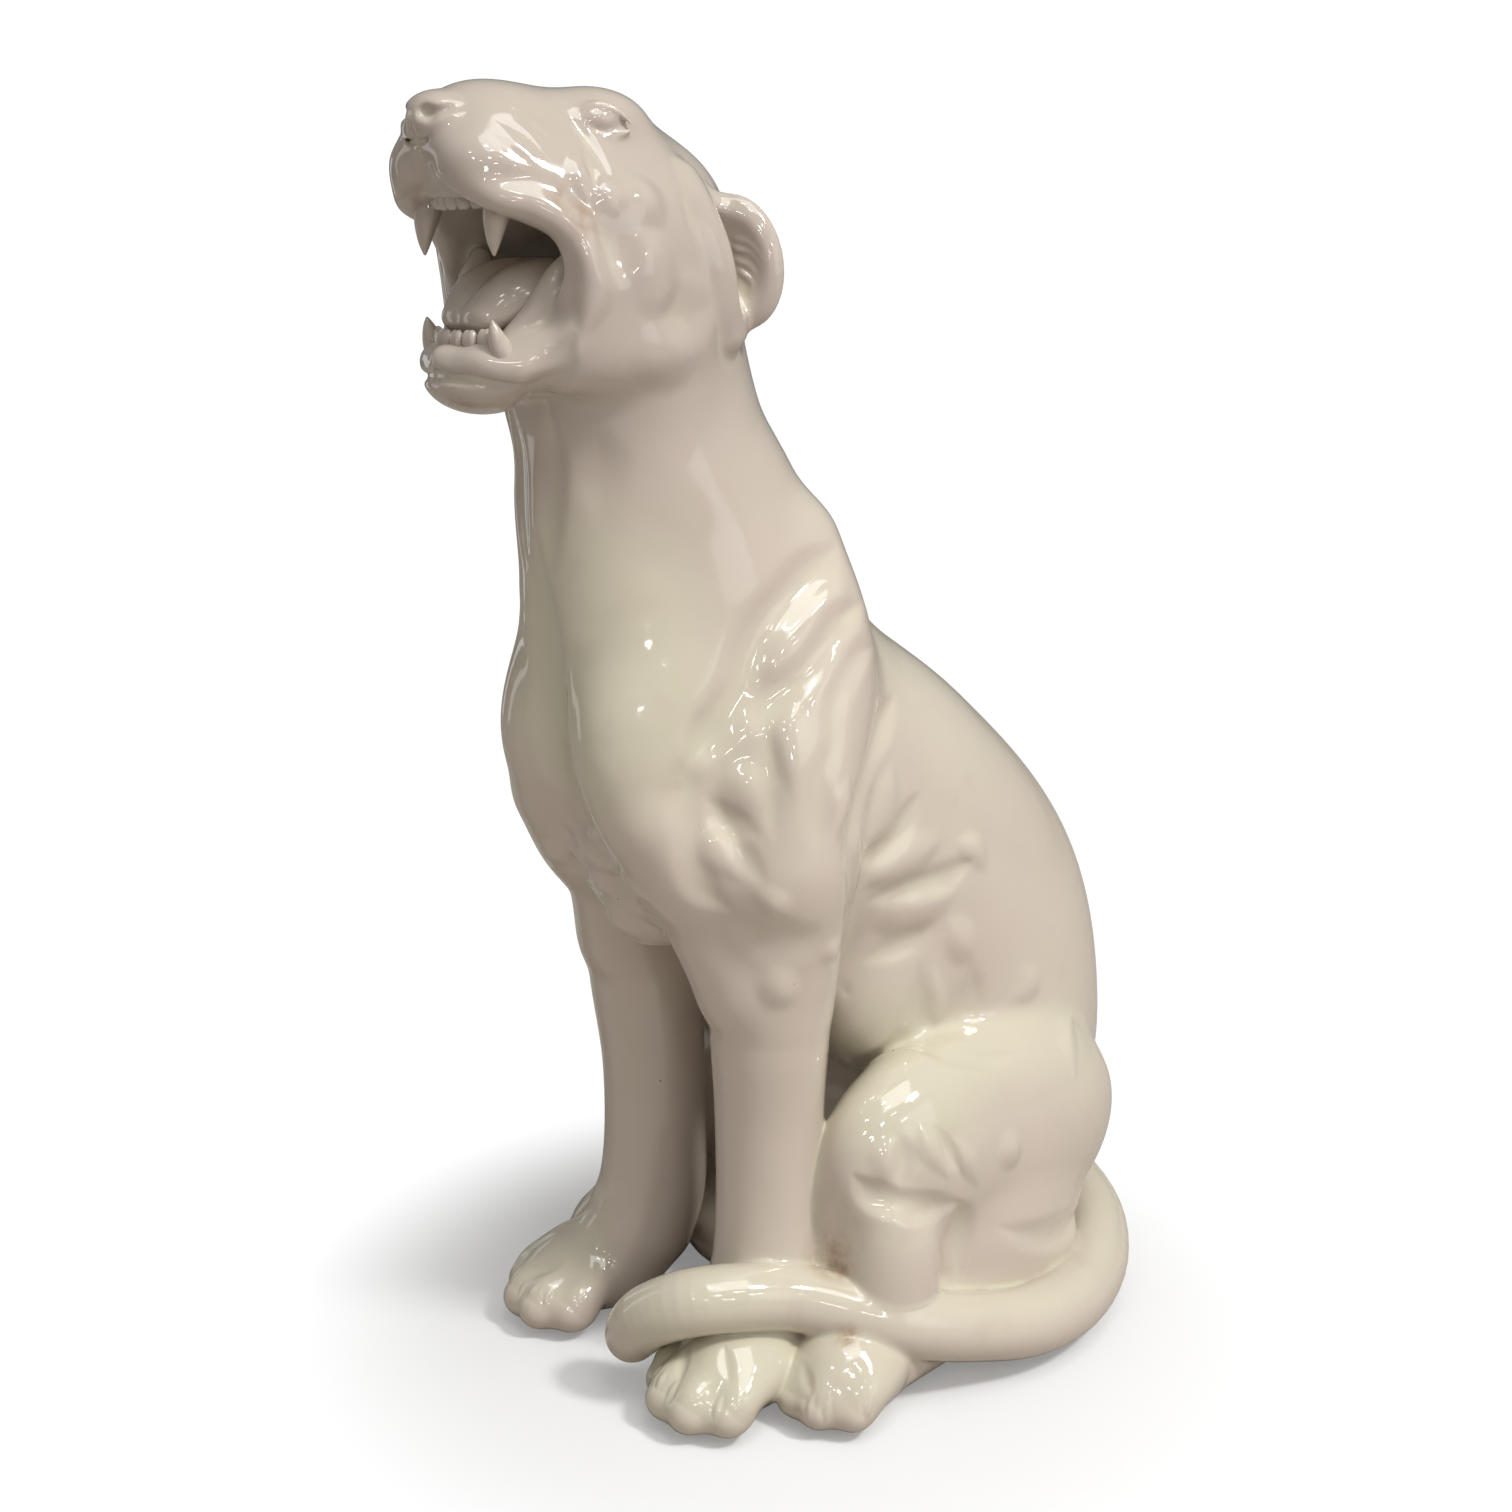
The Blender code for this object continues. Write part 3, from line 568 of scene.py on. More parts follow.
# %% Eyes
def model_eyes(clay):
    clay.press(Ball((50, -120.5, 847), (4, 15, 6.5), (0, -20, 37)), 4, both=True)
    clay.add(Ball((44.5, -119, 845.5), (10, 15, 8.5), (0, -20, -29)), 2, both=True)
    upper_lid = [(38, -132, 846, 0.8), (43, -127, 851, 1.8), (49, -120, 854.5, 2.4), (54.5, -111, 852, 2.0),
                 (59, -102, 844, 0.8)]
    clay.add(Roll(upper_lid, 30), 4, both=True)
    lower_lid = [(38, -132, 843.5, 0.6), (43, -127, 839, 0.9), (50.5, -119, 836.5, 0.9), (58, -105, 840, 0.6)]
    clay.add(Roll(lower_lid, 30), 5, both=True)


# %% [markdown]
# The face is lined where the roar pulls the skin up: behind the whiskers, under the eye, round the jaw.
# Each line is a depth, a width and a path. A depth below zero is a ridge. Bump in the glaze could fake
# them, but the outline and the reflections would then run straight across.

# %% Lines of the face
FACE = [
    # whisker pads, then the creases from the corner of the eye down the cheek
    (0.8, 7, [(41, -183, 845), (51, -173, 836), (60, -163, 824)]),
    (0.8, 7, [(39, -173, 851), (48, -161, 842), (59, -152, 828)]),
    (0.8, 7, [(44, -192, 837), (54, -183, 828), (60, -172, 820)]),
    (2.0, 7, [(43, -138, 850), (53, -133, 837), (64, -130, 824), (73, -128, 810)]),
    (2.0, 7, [(55, -138, 835), (67, -137, 820), (74, -139, 804)]),
    (6.0, 16, [(70, -156, 725), (64, -164, 708), (50, -166, 694), (30, -157, 684), (0, -150, 679)]),
    (-1.5, 9, [(60, -146, 828), (68, -147, 815), (72, -145, 802)]),
    # cheek bone and the hollows under it
    (-3.0, 14, [(72, -139, 809), (75, -130, 804), (77, -122, 800)]),
    (-4.0, 20, [(73, -108, 808), (76, -107, 802), (79, -106, 794)]),
    (4.0, 22, [(79, -133, 787), (82, -133, 774), (83, -132, 757)]),
    (-3.0, 14, [(76, -146, 789), (80, -147, 768), (78, -147, 746), (74, -151, 727)]),
    (-4.0, 20, [(83, -112, 782), (84, -107, 768), (84, -106, 753), (84, -117, 743)]),
    (4.0, 24, [(85, -101, 740), (85, -82, 735), (80, -60, 741)]),
    (-3.0, 26, [(81, -116, 711), (83, -97, 712), (83, -79, 715)]),
    (3.0, 24, [(66, -66, 808), (71, -59, 791), (66, -44, 773)]),
]
print("lines on each side of the face:", len(FACE))


def model_face(clay):
    draw_marks(clay, [mark(depth, width, path) for depth, width, path in FACE])


def model_head(clay):
    model_skull(clay)
    model_mouth(clay)
    model_nose(clay)
    model_eyes(clay)
    model_face(clay)


# %% [markdown]
# ## Ears
#
# Each ear is a flat ball of clay turned to face forward, with a bowl pressed into it, and locks of
# fur laid in the bowl as short thin rolls. Ears are stuck on after the head is cast, so behind each one
# runs a flange, a roll that carries the head out to meet it.

# %% Ears
LOCKS = [[(60, -25, 780), (69, -21, 777), (77, -18, 767)], [(60, -25, 774), (69, -20, 771), (77, -17, 760)],
         [(60, -24, 767), (68, -20, 763), (74, -18, 754)], [(62, -23, 760), (69, -20, 754), (69, -22, 745)]]
LOCK_RADII = (2.6, 2.2, 0.8)
FLANGE = [(50, -62, 812, 9), (60, -59, 794, 11), (66, -51, 769, 12), (66, -45, 747, 12), (62, -38, 725, 11)]
print("locks of fur in each ear:", len(LOCKS))


def model_flange(clay):
    clay.add(Roll(FLANGE), 10, both=True)


def model_ears(clay):
    clay.add(Ball((59, -24, 766), (11, 29, 41), (12, 0, -55)), 12, both=True)
    clay.press(Ball((67, -37, 765), (13, 24, 34), (12, 0, -55)), 4, both=True)
    for lock in LOCKS:
        rows = [tuple(point) + (size,) for point, size in zip(lock, LOCK_RADII)]
        clay.add(Roll(rows, 30), 1.5, both=True)


# %% [markdown]
# ## Tool marks
#
# Under the glaze the modeller drew the muscles with a loop tool: valleys between the shoulder
# muscles, folds of skin behind the elbow, the crease of the folded knee. Each mark is a path drawn
# near the skin. It is slid onto a rough block of the whole animal first, so its path need not lie exactly on
# the skin.
# It then sinks in by its own depth, or stands proud where the depth is below zero, and fades out
# towards its sides and its two ends.

# %% Valleys, folds and creases
MARKS = [
    # throat, breastbone and the fold under the breast
    (3.0, 14, [(17, -131, 690), (16, -128, 650), (14, -130, 610), (10, -134, 570)]),
    (2.0, 24, [(48, -125, 669), (47, -122, 645), (46, -121, 614)]),
    (5.0, 24, [(0, -134, 600), (0, -131, 545), (0, -124, 500), (0, -118, 455), (0, -110, 425)]),
    (-3.5, 14, [(-15, -113, 426), (-12, -105, 404), (8, -100, 386), (42, -106, 374), (61, -106, 367)]),
    (3.0, 14, [(-36, -107, 390), (-27, -101, 375), (-10, -94, 358), (12, -86, 342), (30, -80, 320)]),
    # shoulder blade and upper arm
    (5.5, 20, [(85, 35, 587), (90, 11, 574), (93, -14, 560), (93, -33, 545), (92, -44, 527), (92, -52, 508),
               (91, -64, 493), (90, -76, 479), (88, -83, 463)]),
    (-2.5, 20, [(99, 35, 565), (104, 16, 558), (106, -7, 541), (104, -22, 526), (101, -35, 510)]),
    (4.0, 17, [(98, 48, 552), (112, 18, 546), (115, 4, 534), (115, -10, 521), (111, -25, 509),
               (105, -38, 498), (104, -47, 482)]),
    (2.2, 13, [(106, -40, 491), (113, -44, 464), (118, -45, 440), (122, -46, 414)]),
    (3.0, 14, [(108, 54, 524), (114, 29, 522), (120, 11, 508), (126, -1, 491), (131, -5, 472),
               (134, -16, 450), (134, -21, 425), (135, -22, 400)]),
    (-3.0, 14, [(115, -25, 498), (119, -30, 482), (124, -32, 464), (128, -33, 439)]),
    (5.5, 17, [(96, 88, 483), (104, 67, 469), (113, 45, 452), (123, 26, 434), (130, 16, 417), (130, 10, 398),
               (124, 16, 374), (108, 30, 329), (98, 40, 297), (90, 50, 272)]),
    (-3.5, 12, [(133, 5, 449), (135, -1, 432), (136, -9, 409)]),
    (-3.2, 20, [(102, -60, 459), (105, -59, 446), (106, -59, 436)]),
    (2.4, 12, [(90, -76, 442), (96, -68, 428), (105, -60, 421), (114, -53, 417)]),
    (-3.0, 16, [(90, -76, 422), (95, -71, 405), (105, -63, 390)]),
    (2.0, 11, [(96, -68, 430), (103, -63, 412), (113, -57, 397), (119, -53, 386)]),
    (2.6, 15, [(89, -83, 479), (84, -89, 453), (82, -89, 427), (85, -87, 403), (89, -78, 381),
               (98, -63, 367)]),
    (-3.0, 14, [(117, -53, 380), (122, -47, 372), (125, -40, 365)]),
    (3.5, 23, [(99, -59, 357), (112, -47, 347), (123, -30, 341), (129, -13, 349)]),
    (-3.5, 18, [(109, -41, 317), (112, -34, 308), (114, -27, 300)]),
    (-3.0, 12, [(125, -2, 335), (120, 8, 323)]),
    # folds of skin and ribs
    (-3.6, 17, [(105, 71, 438), (107, 64, 420), (108, 56, 402), (112, 43, 389)]),
    (3.5, 14, [(104, 100, 417), (110, 86, 403), (109, 74, 389), (106, 57, 381), (112, 38, 379)]),
    (-4.2, 19, [(107, 114, 381), (106, 94, 375), (106, 71, 368), (103, 52, 360)]),
    (3.5, 14, [(107, 148, 360), (108, 126, 353), (106, 102, 350), (103, 79, 349), (98, 57, 345)]),
    (-3.5, 22, [(108, 128, 339), (106, 105, 335), (101, 85, 331), (94, 69, 324)]),
    (3.0, 14, [(108, 111, 318), (102, 98, 311), (93, 82, 305), (84, 67, 298)]),
    (-4.0, 14, [(109, 131, 375), (107, 148, 366), (108, 160, 350)]),
    (-4.0, 18, [(110, 125, 320), (109, 136, 302), (107, 145, 285)]),
    (3.0, 16, [(97, 102, 289), (89, 106, 259), (94, 107, 230)]),
    (-2.5, 12, [(102, 114, 286), (96, 121, 257), (97, 125, 237)]),
    (3.0, 18, [(107, 149, 284), (105, 150, 253), (121, 129, 233)]),
    (-3.0, 16, [(114, 193, 271), (115, 200, 255), (116, 182, 246)]),
    (-3.0, 14, [(118, 249, 220), (134, 227, 211), (149, 218, 189)]),
    # haunch, knee and hock
    (3.0, 14, [(70, 92, 208), (80, 99, 218), (103, 97, 231), (129, 102, 232), (138, 130, 224),
               (140, 163, 218)]),
    (-2.5, 14, [(148, 34, 197), (151, 27, 183), (157, 24, 169)]),
    (2.8, 14, [(155, 40, 195), (159, 39, 180), (164, 36, 164)]),
    (-3.0, 12, [(156, 56, 203), (163, 60, 185), (165, 73, 162)]),
    (2.5, 10, [(159, 68, 197), (163, 76, 180), (165, 86, 158)]),
    (-3.0, 12, [(162, 79, 188), (165, 90, 169), (164, 103, 146)]),
    (-3.5, 16, [(162, 132, 171), (163, 136, 161), (163, 143, 150)]),
    (4.5, 14, [(141, 4, 171), (150, 15, 159), (160, 32, 152), (159, 62, 141), (163, 88, 136)]),
    (4.5, 15, [(162, 84, 138), (163, 92, 121), (160, 94, 102), (156, 94, 70)]),
    (3.0, 16, [(163, 128, 104), (162, 162, 87), (152, 206, 75), (124, 265, 61)]),
    # clefts between the toes, then a claw on each toe inside its own thin outline
    (1.8, 7, [(74, -80, 52), (81, -91, 46), (91, -102, 38)]),
    (1.8, 7, [(99, -71, 61), (109, -77, 53), (118, -81, 43)]),
    (1.8, 7, [(135, -31, 47), (144, -35, 40), (153, -39, 33)]),
]
CLAWS = [(63, -105, 38), (77, -108, 37), (89, -107, 33), (120, -93, 31), (154, -42, 28), (163, -35, 26),
         (182, -15, 28)]
for x, y, z in CLAWS:
    finger = [(x - 1, y + 5, z + 10), (x, y, z), (x + 1, y - 1, z - 10)]
    MARKS += [(1.4, 6.5, finger), (-2.4, 4.0, finger)]
print("marks on each side:", len(MARKS))


def place_marks():
    """Slide each mark's path onto a rough block of the whole animal."""
    rough = Clay((-215, -250, 0), (215, 370, 740), 4.0)
    model_trunk(rough)
    model_haunches(rough)
    for side in (LEFT, RIGHT):
        model_foreleg(rough, side)
    return [mark(depth, width, path, rough) for depth, width, path in MARKS]


# %% [markdown]
# ## Fitting the sections together
#
# The pottery was cast in sections, so the skin is cut back into the same sections as the frame's. In
# one window of cells, the trunk, the two forelegs and the tail are modelled apart, which tells at
# every point which of them owns the clay there. Then they are joined, with a small fillet of slip.

# %% The sections of one window
PLACED = place_marks()
FLOOR_FLAT_Z = 3.3
LEG_JOINT_Z = 262.0
STUB = 6.0
SLIP_FILLET = 4.0


def model_window(low, high, cell, with_head=False):
    """The joined clay of a window, and the parts of it that the forelegs and the tail own."""
    trunk = Clay(low, high, cell)
    model_trunk(trunk)
    model_haunches(trunk)
    if with_head:
        model_head(trunk)
        model_ears(trunk)
    foreleg, tail = Clay(low, high, cell), Clay(low, high, cell)
    for side in (LEFT, RIGHT):
        model_foreleg(foreleg, side)
    model_tail(tail)
    foreleg_share = np.maximum(foreleg.far - 3 - trunk.far, foreleg.far - tail.far)
    tail_share = np.maximum(tail.far - trunk.far, tail.far - foreleg.far)
    joined = Clay(low, high, cell)
    joined.far = trunk.far
    joined.join(foreleg, SLIP_FILLET)
    joined.join(tail, SLIP_FILLET)
    draw_marks(joined, PLACED)
    joined.slice_below(FLOOR_FLAT_Z)
    return joined, foreleg_share, tail_share

# %% [markdown]
# ## From clay to mesh
#
# A mesh is laid over the block with one point to each cell that the surface crosses. Each point is
# then slid onto the surface itself, and keeps the surface's own direction as its normal, so sections
# cut apart along a joint still shade as one skin, as they do under one coat of glaze.

# %% Skin, slide and shade
def slide(block, points):
    """Move the points that are near the surface onto it."""
    for _ in range(2):
        gap = block.sample(points)
        near = np.abs(gap) < 1.2 * block.cell
        points[near] -= gap[near, None] * block.slope(points[near])
    return points


def lay_mesh(name, points, faces):
    mesh = bpy.data.meshes.new(name)
    mesh.vertices.add(len(points))
    mesh.vertices.foreach_set("co", ((points + STAND) * MM).ravel())
    mesh.loops.add(faces.size)
    mesh.loops.foreach_set("vertex_index", faces.ravel().astype(np.int32))
    mesh.polygons.add(len(faces))
    mesh.polygons.foreach_set("loop_start", np.arange(0, faces.size, faces.shape[1], dtype=np.int32))
    mesh.update(calc_edges=True)
    mesh.validate()
    return mesh


def places(mesh):
    """The mesh's points in the sculptor's millimetres."""
    points = np.empty(3 * len(mesh.vertices), np.float32)
    mesh.vertices.foreach_get("co", points)
    return points.reshape(-1, 3).astype(float) / MM - STAND


def shade(mesh, block, soft_block):
    """Give the mesh the clay's own normals, and note how hollow the surface is at each point."""
    points = places(mesh)
    hollow = mesh.attributes.new("hollow", "FLOAT", "POINT")
    hollow.data.foreach_set("value", -soft_block.sample(points).astype(np.float32))
    mesh.polygons.foreach_set("use_smooth", np.ones(len(mesh.polygons), bool))
    mesh.normals_split_custom_set_from_vertices(block.slope(points).astype(np.float32))


# %% [markdown]
# ## Sections
#
# Where a joint of the frame is a flat cut, the mesh is cut flat at the same height and closed, as the
# caster trims a section with a wire before it is stuck on.


# %% Trimming with a wire
def middle_of(face):
    return face.calc_center_median() / MM - Vector(STAND)


def all_parts(faces):
    """The faces with their edges and corners, in the same order on every run, as sets wouldn't be."""
    edges = dict.fromkeys(edge for face in faces for edge in face.edges)
    verts = dict.fromkeys(vert for face in faces for vert in face.verts)
    return faces + list(edges) + list(verts)


def trim(bm, point, outward, where=None):
    """Drop what lies beyond a plane, and close the cut."""
    point = Vector(np.array(point) + STAND) * MM
    outward = Vector(outward).normalized()
    faces = [face for face in bm.faces if where is None or where(middle_of(face))]
    done = bmesh.ops.bisect_plane(bm, geom=all_parts(faces), dist=1e-7, plane_co=point,
                                  plane_no=outward, clear_outer=True)
    rim = [item for item in done["geom_cut"] if isinstance(item, bmesh.types.BMEdge)]
    rim = [edge for edge in rim if edge.is_boundary]
    return bmesh.ops.triangle_fill(bm, edges=rim, normal=outward)["geom"]


def drop_crumbs(bm):
    """Keep the largest shell of a section."""
    unseen = set(bm.verts)
    shells = []
    while unseen:
        shell = [unseen.pop()]
        for vert in shell:
            for edge in vert.link_edges:
                other = edge.other_vert(vert)
                if other in unseen:
                    unseen.remove(other)
                    shell.append(other)
        shells.append(shell)
    shells.sort(key=len)
    for shell in shells[:-1]:
        bmesh.ops.delete(bm, geom=shell, context="VERTS")


# %% [markdown]
# Every section goes through the same steps: lay a mesh over the share of clay that it owns, trim it along
# its joints, keep the one shell that is the section, and let it stand in for the frame's node. The frame's
# own solid stays, hidden.

# %% A section from a window
FINISHED = []


def section(name, window, keep, cuts):
    """Mesh the kept share of a window, trim it along its joints and stand it in for its node."""
    joined, soft_block = window
    share = Clay(joined.low, joined.low, joined.cell)
    share.lines, share.far = joined.lines, keep
    points, faces = share.skin()
    mesh = lay_mesh(name, slide(joined, points), faces)
    bm = bmesh.new()
    bm.from_mesh(mesh)
    for cut in cuts:
        trim(bm, *cut)
    drop_crumbs(bm)
    bm.to_mesh(mesh)
    bm.free()
    shade(mesh, joined, soft_block)
    return finish_piece(name, mesh, name)


def finish_piece(name, mesh, *nodes):
    piece = bpy.data.objects.new("glazed_" + name, mesh)
    bpy.context.scene.collection.objects.link(piece)
    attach(piece, "root")
    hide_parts(*nodes)
    triangles = sum(len(face.vertices) - 2 for face in mesh.polygons)
    print(f"{piece.name}: {triangles} triangles")
    FINISHED.append(piece)
    return piece


def ready(joined):
    """The block with a softened copy of it, which tells hollows from crests for the glaze."""
    soft_block = Clay(joined.low, joined.low, joined.cell)
    soft_block.lines, soft_block.far = joined.lines, joined.far.copy()
    soft_block.sponge(4.0)
    return joined, soft_block


# %% [markdown]
# ## Glaze
#
# A material is a web of nodes, and sums in it need one Math node each. This small class wraps a node's
# output so that the sums can be written as in Python, and still become nodes.


# %% Wires for shader maths
class Wire:
    """One output of a shader node; sums and products of wires make Math nodes."""

    tree = None

    def __init__(self, socket):
        self.socket = socket

    @classmethod
    def node(cls, kind, settings=None, inputs=None, output=0):
        """A node of one type: its settings first, then values or wires for its sockets."""
        made = cls.tree.nodes.new(kind)
        for name, value in (settings or {}).items():
            setattr(made, name, value)
        for name, value in (inputs or {}).items():
            if isinstance(value, Wire):
                cls.tree.links.new(value.socket, made.inputs[name])
            else:
                made.inputs[name].default_value = value
        return None if output is None else cls(made.outputs[output])

    def maths(self, operation, *values):
        inputs = {i: value for i, value in enumerate(values)}
        return Wire.node("ShaderNodeMath", {"operation": operation}, inputs)

    def __add__(self, other):
        return self.maths("ADD", self, other)

    def __radd__(self, other):
        return self.maths("ADD", other, self)

    def __sub__(self, other):
        return self.maths("SUBTRACT", self, other)

    def __rsub__(self, other):
        return self.maths("SUBTRACT", other, self)

    def __mul__(self, other):
        return self.maths("MULTIPLY", self, other)

    def __rmul__(self, other):
        return self.maths("MULTIPLY", other, self)

    def step(self, low, high):
        """0 below one value, 1 above the other, and smooth between."""
        settings = {"interpolation_type": "SMOOTHSTEP"}
        return Wire.node("ShaderNodeMapRange", settings, {0: self, 1: low, 2: high, 3: 0.0, 4: 1.0})


def tint(low, high, share):
    """A colour between two, or between a wire and a colour."""
    return Wire.node("ShaderNodeMix", {"data_type": "RGBA"}, {0: share, 6: low, 7: high}, output=2)


def noise(place, scale, detail=2.0, rough=0.5):
    inputs = {"Vector": place, "Scale": scale, "Detail": detail, "Roughness": rough}
    return Wire.node("ShaderNodeTexNoise", {}, inputs)


def near(place, centre, reach, squash=(1, 1, 1)):
    """1 at a place on the animal, in its own millimetres, fading to 0 at some reach."""
    centre = tuple((np.array(centre) + STAND) * MM)
    away = Wire.node("ShaderNodeVectorMath", {"operation": "SUBTRACT"}, {0: place, 1: centre})
    away = Wire.node("ShaderNodeVectorMath", {"operation": "MULTIPLY"}, {0: away, 1: squash})
    far = Wire.node("ShaderNodeVectorMath", {"operation": "LENGTH"}, {0: away}, output="Value")
    return 1 - far.step(0.0, reach * MM)


# %% [markdown]
# The real finish is one coat of glossy glaze over pale clay. It runs off the crests, where the clay shows
# pinker, and gathers in hollows, where it is greener. Iron in the clay leaves rust in the deep cracks and a
# few dark specks. A picture could hold all that, but nodes on the object's own coordinates don't need one
# and have no seams. Two slow noises make the slight waves that break up the reflections.

# %% Glaze
# The first cream is painted top light: lighter and yellower, for faces that point up.
CREAM_PAINTED_TOP_LIGHT = (0.600, 0.548, 0.436, 1)
CREAM_SIDE = (0.575, 0.490, 0.422, 1)
# The head's cream is painted shade: darker, and a little pinker, for the head and neck.
HEAD_PAINTED_SHADE = (0.400, 0.340, 0.303, 1)
POOLED = (0.590, 0.560, 0.425, 1)
BLUSH = (0.480, 0.375, 0.325, 1)
THIN = (0.600, 0.510, 0.450, 1)
RUST = (0.300, 0.165, 0.085, 1)
SPECK = (0.080, 0.060, 0.050, 1)
# The mouth's brown is painted shade for the inside of the open mouth.
MOUTH_PAINTED_SHADE = (0.300, 0.225, 0.165, 1)
MOUTH_PLACE = (0, -140, 762)
SPECK_SCALE = 24.0
WAVE_DEPTH = 0.00035
STAINS = [((120, 9, 100), 26, (1, 1, 0.7)), ((112, 6, 66), 22, (1, 1, 0.8)), ((70, -150, 790), 17, (1, 1, 1)),
          ((66, -163, 800), 13, (1, 1, 1)), ((10, -192, 688), 16, (1, 1, 1.4)), ((84, 12, 60), 18, (1, 1, 1)),
          ((150, -6, 64), 14, (1, 1, 1))]

glaze = bpy.data.materials.new("cream_glaze")
glaze.use_nodes = True
Wire.tree = glaze.node_tree
shader = glaze.node_tree.nodes["Principled BSDF"]
place = Wire.node("ShaderNodeTexCoord", output="Object")
hollow = Wire.node("ShaderNodeAttribute", {"attribute_name": "hollow"}, output="Fac")
facing = Wire.node("ShaderNodeNewGeometry", output="Normal")
up = Wire.node("ShaderNodeSeparateXYZ", {}, {0: facing}, output="Z")
broad = noise(place, 7.0)
patchy = noise(place, 26.0, 3.0)
fine = noise(place, 120.0, 3.0)

# Painted top light: faces that point up get the lighter cream, broken up by a broad noise.
colour = tint(CREAM_SIDE, CREAM_PAINTED_TOP_LIGHT, (up + (broad - 0.5) * 1.6).step(-0.15, 0.85))
# Painted shade: from about half the height upward, the head and neck are darkened and made a little pinker.
height = Wire.node("ShaderNodeSeparateXYZ", {}, {0: place}, output="Z")
colour = tint(colour, HEAD_PAINTED_SHADE, (height + (broad - 0.5) * 0.25).step(0.48, 0.78) * 0.65)
# Greener pooled glaze on the chest, the haunches and the paws. At the paws it is also painted light: the
# light pooled colour lifts them brighter.
pooled_and_paw_light = near(place, (34, -120, 520), 150, (1, 1, 0.8)) + near(place, (110, 80, 215), 130)
pooled_and_paw_light = pooled_and_paw_light + near(place, (90, -70, 50), 110)
colour = tint(colour, POOLED, (pooled_and_paw_light.step(0.1, 0.8) * 0.8 + patchy * 0.4 - 0.2).step(0.0, 0.9) * 0.6)
colour = tint(colour, THIN, (0 - hollow + (patchy - 0.5)).step(0.5, 2.2) * 0.6)
colour = tint(colour, POOLED, (hollow + (broad - 0.5) * 1.2).step(0.1, 1.6) * 0.65)
blush = (hollow + (patchy - 0.5) * 2.0).step(0.7, 2.4) * patchy.step(0.42, 0.62)
colour = tint(colour, BLUSH, blush * 0.75)
colour = tint(colour, BLUSH, patchy.step(0.56, 0.74) * broad.step(0.45, 0.65) * 0.28)
for centre, reach, squash in STAINS:
    share = near(place, centre, reach, squash) * (fine * 1.2 + patchy * 0.6).step(0.55, 1.15)
    colour = tint(colour, RUST, share * 0.75)
# Painted shade: the inside of the mouth, tongue and palate included, is darkened towards brown.
mouth_shade = near(place, MOUTH_PLACE, 62, (1, 0.9, 0.9)).step(0.15, 0.75)
colour = tint(colour, MOUTH_PAINTED_SHADE, mouth_shade * 0.55)
spots = {"Vector": place, "Scale": SPECK_SCALE}
cells = Wire.node("ShaderNodeTexVoronoi", {"feature": "F1"}, spots, output="Distance")
colour = tint(colour, SPECK, (1 - cells.step(0.010, 0.022)) * 0.8)

swell = noise(place, 48.0, 1.0)
peel = noise(place, 260.0, 1.0)
waves = {"Strength": 1.0, "Distance": WAVE_DEPTH, "Height": swell + peel * 0.10}
bump = Wire.node("ShaderNodeBump", {}, waves)
link = glaze.node_tree.links.new
link(colour.socket, shader.inputs["Base Color"])
link((0.05 + patchy * 0.05).socket, shader.inputs["Roughness"])
link(bump.socket, shader.inputs["Normal"])
shader.inputs["IOR"].default_value = 1.5
shader.inputs["Coat Weight"].default_value = 0.5
shader.inputs["Coat Roughness"].default_value = 0.03
print("nodes in the glaze:", len(glaze.node_tree.nodes))

# %% [markdown]
# ## Casting the sections
#
# The trunk section keeps everything above the joint with the forelegs, and is trimmed at the neck and
# along the two leaning joints with the haunches. Its forms are broad, so its cells are 3 mm, the widest
# of all.

# %% Trunk section
NECK_JOINT_Z = 648.0
HAUNCH_FOOT_X = 62.0
HAUNCH_LEAN = math.radians(17.3)
lean_out = (math.cos(HAUNCH_LEAN), 0.0, -math.sin(HAUNCH_LEAN))
started = time.time()

joined, foreleg_share, tail_share = model_window((-185, -175, -5), (185, 365, 668), 3.0)
stub = np.maximum(foreleg_share, joined.lines[2][None, None, :] - (LEG_JOINT_Z - STUB))
keep = np.maximum(joined.far, -np.minimum(stub, tail_share))


def in_foreleg(place):
    """Within reach of a foreleg's top, so the belly between the two stays whole."""
    from_leg = math.hypot(abs(place.x) - 71, place.y + 6)
    return from_leg < 50 and place.y < 42 and LEG_JOINT_Z - 20 < place.z < LEG_JOINT_Z + 12


trunk_cuts = [((0, 0, NECK_JOINT_Z), (0, 0, 1)),
              ((0, 0, LEG_JOINT_Z), (0, 0, -1), in_foreleg),
              ((HAUNCH_FOOT_X, 0, 0), lean_out),
              ((-HAUNCH_FOOT_X, 0, 0), (-lean_out[0], 0, lean_out[2]))]
section("torso", ready(joined), keep, trunk_cuts)
print("seconds:", round(time.time() - started, 1))

# %% [markdown]
# Each haunch is a section of its own, luted on along a leaning flat joint. It carries the knee, the hock
# and the foot, so it gets finer cells than the trunk.

# %% Haunch sections
for side, word in ((LEFT, "left"), (RIGHT, "right")):
    x_low, x_high = sorted((50 * side, 210 * side))
    joined, foreleg_share, tail_share = model_window((x_low, -75, -5), (x_high, 365, 290), 1.7)
    keep = np.maximum(joined.far, -np.minimum(foreleg_share, tail_share))
    inward = (-lean_out[0] * side, 0, -lean_out[2])
    section("hind_leg_" + word, ready(joined), keep, [((HAUNCH_FOOT_X * side, 0, 0), inward)])

# %% [markdown]
# The forelegs were cast apart and stuck on under the elbow. Their clefts and claws are the smallest forms
# on the body, so the cells are smaller again.

# %% Foreleg sections
for side, word in ((LEFT, "left"), (RIGHT, "right")):
    x_low, x_high = sorted((10 * side, 150 * side))
    joined, foreleg_share, tail_share = model_window((x_low, -150, -5), (x_high, 70, 285), 1.5)
    keep = np.maximum(joined.far, foreleg_share)
    section("front_leg_" + word, ready(joined), keep, [((0, 0, LEG_JOINT_Z), (0, 0, 1))])

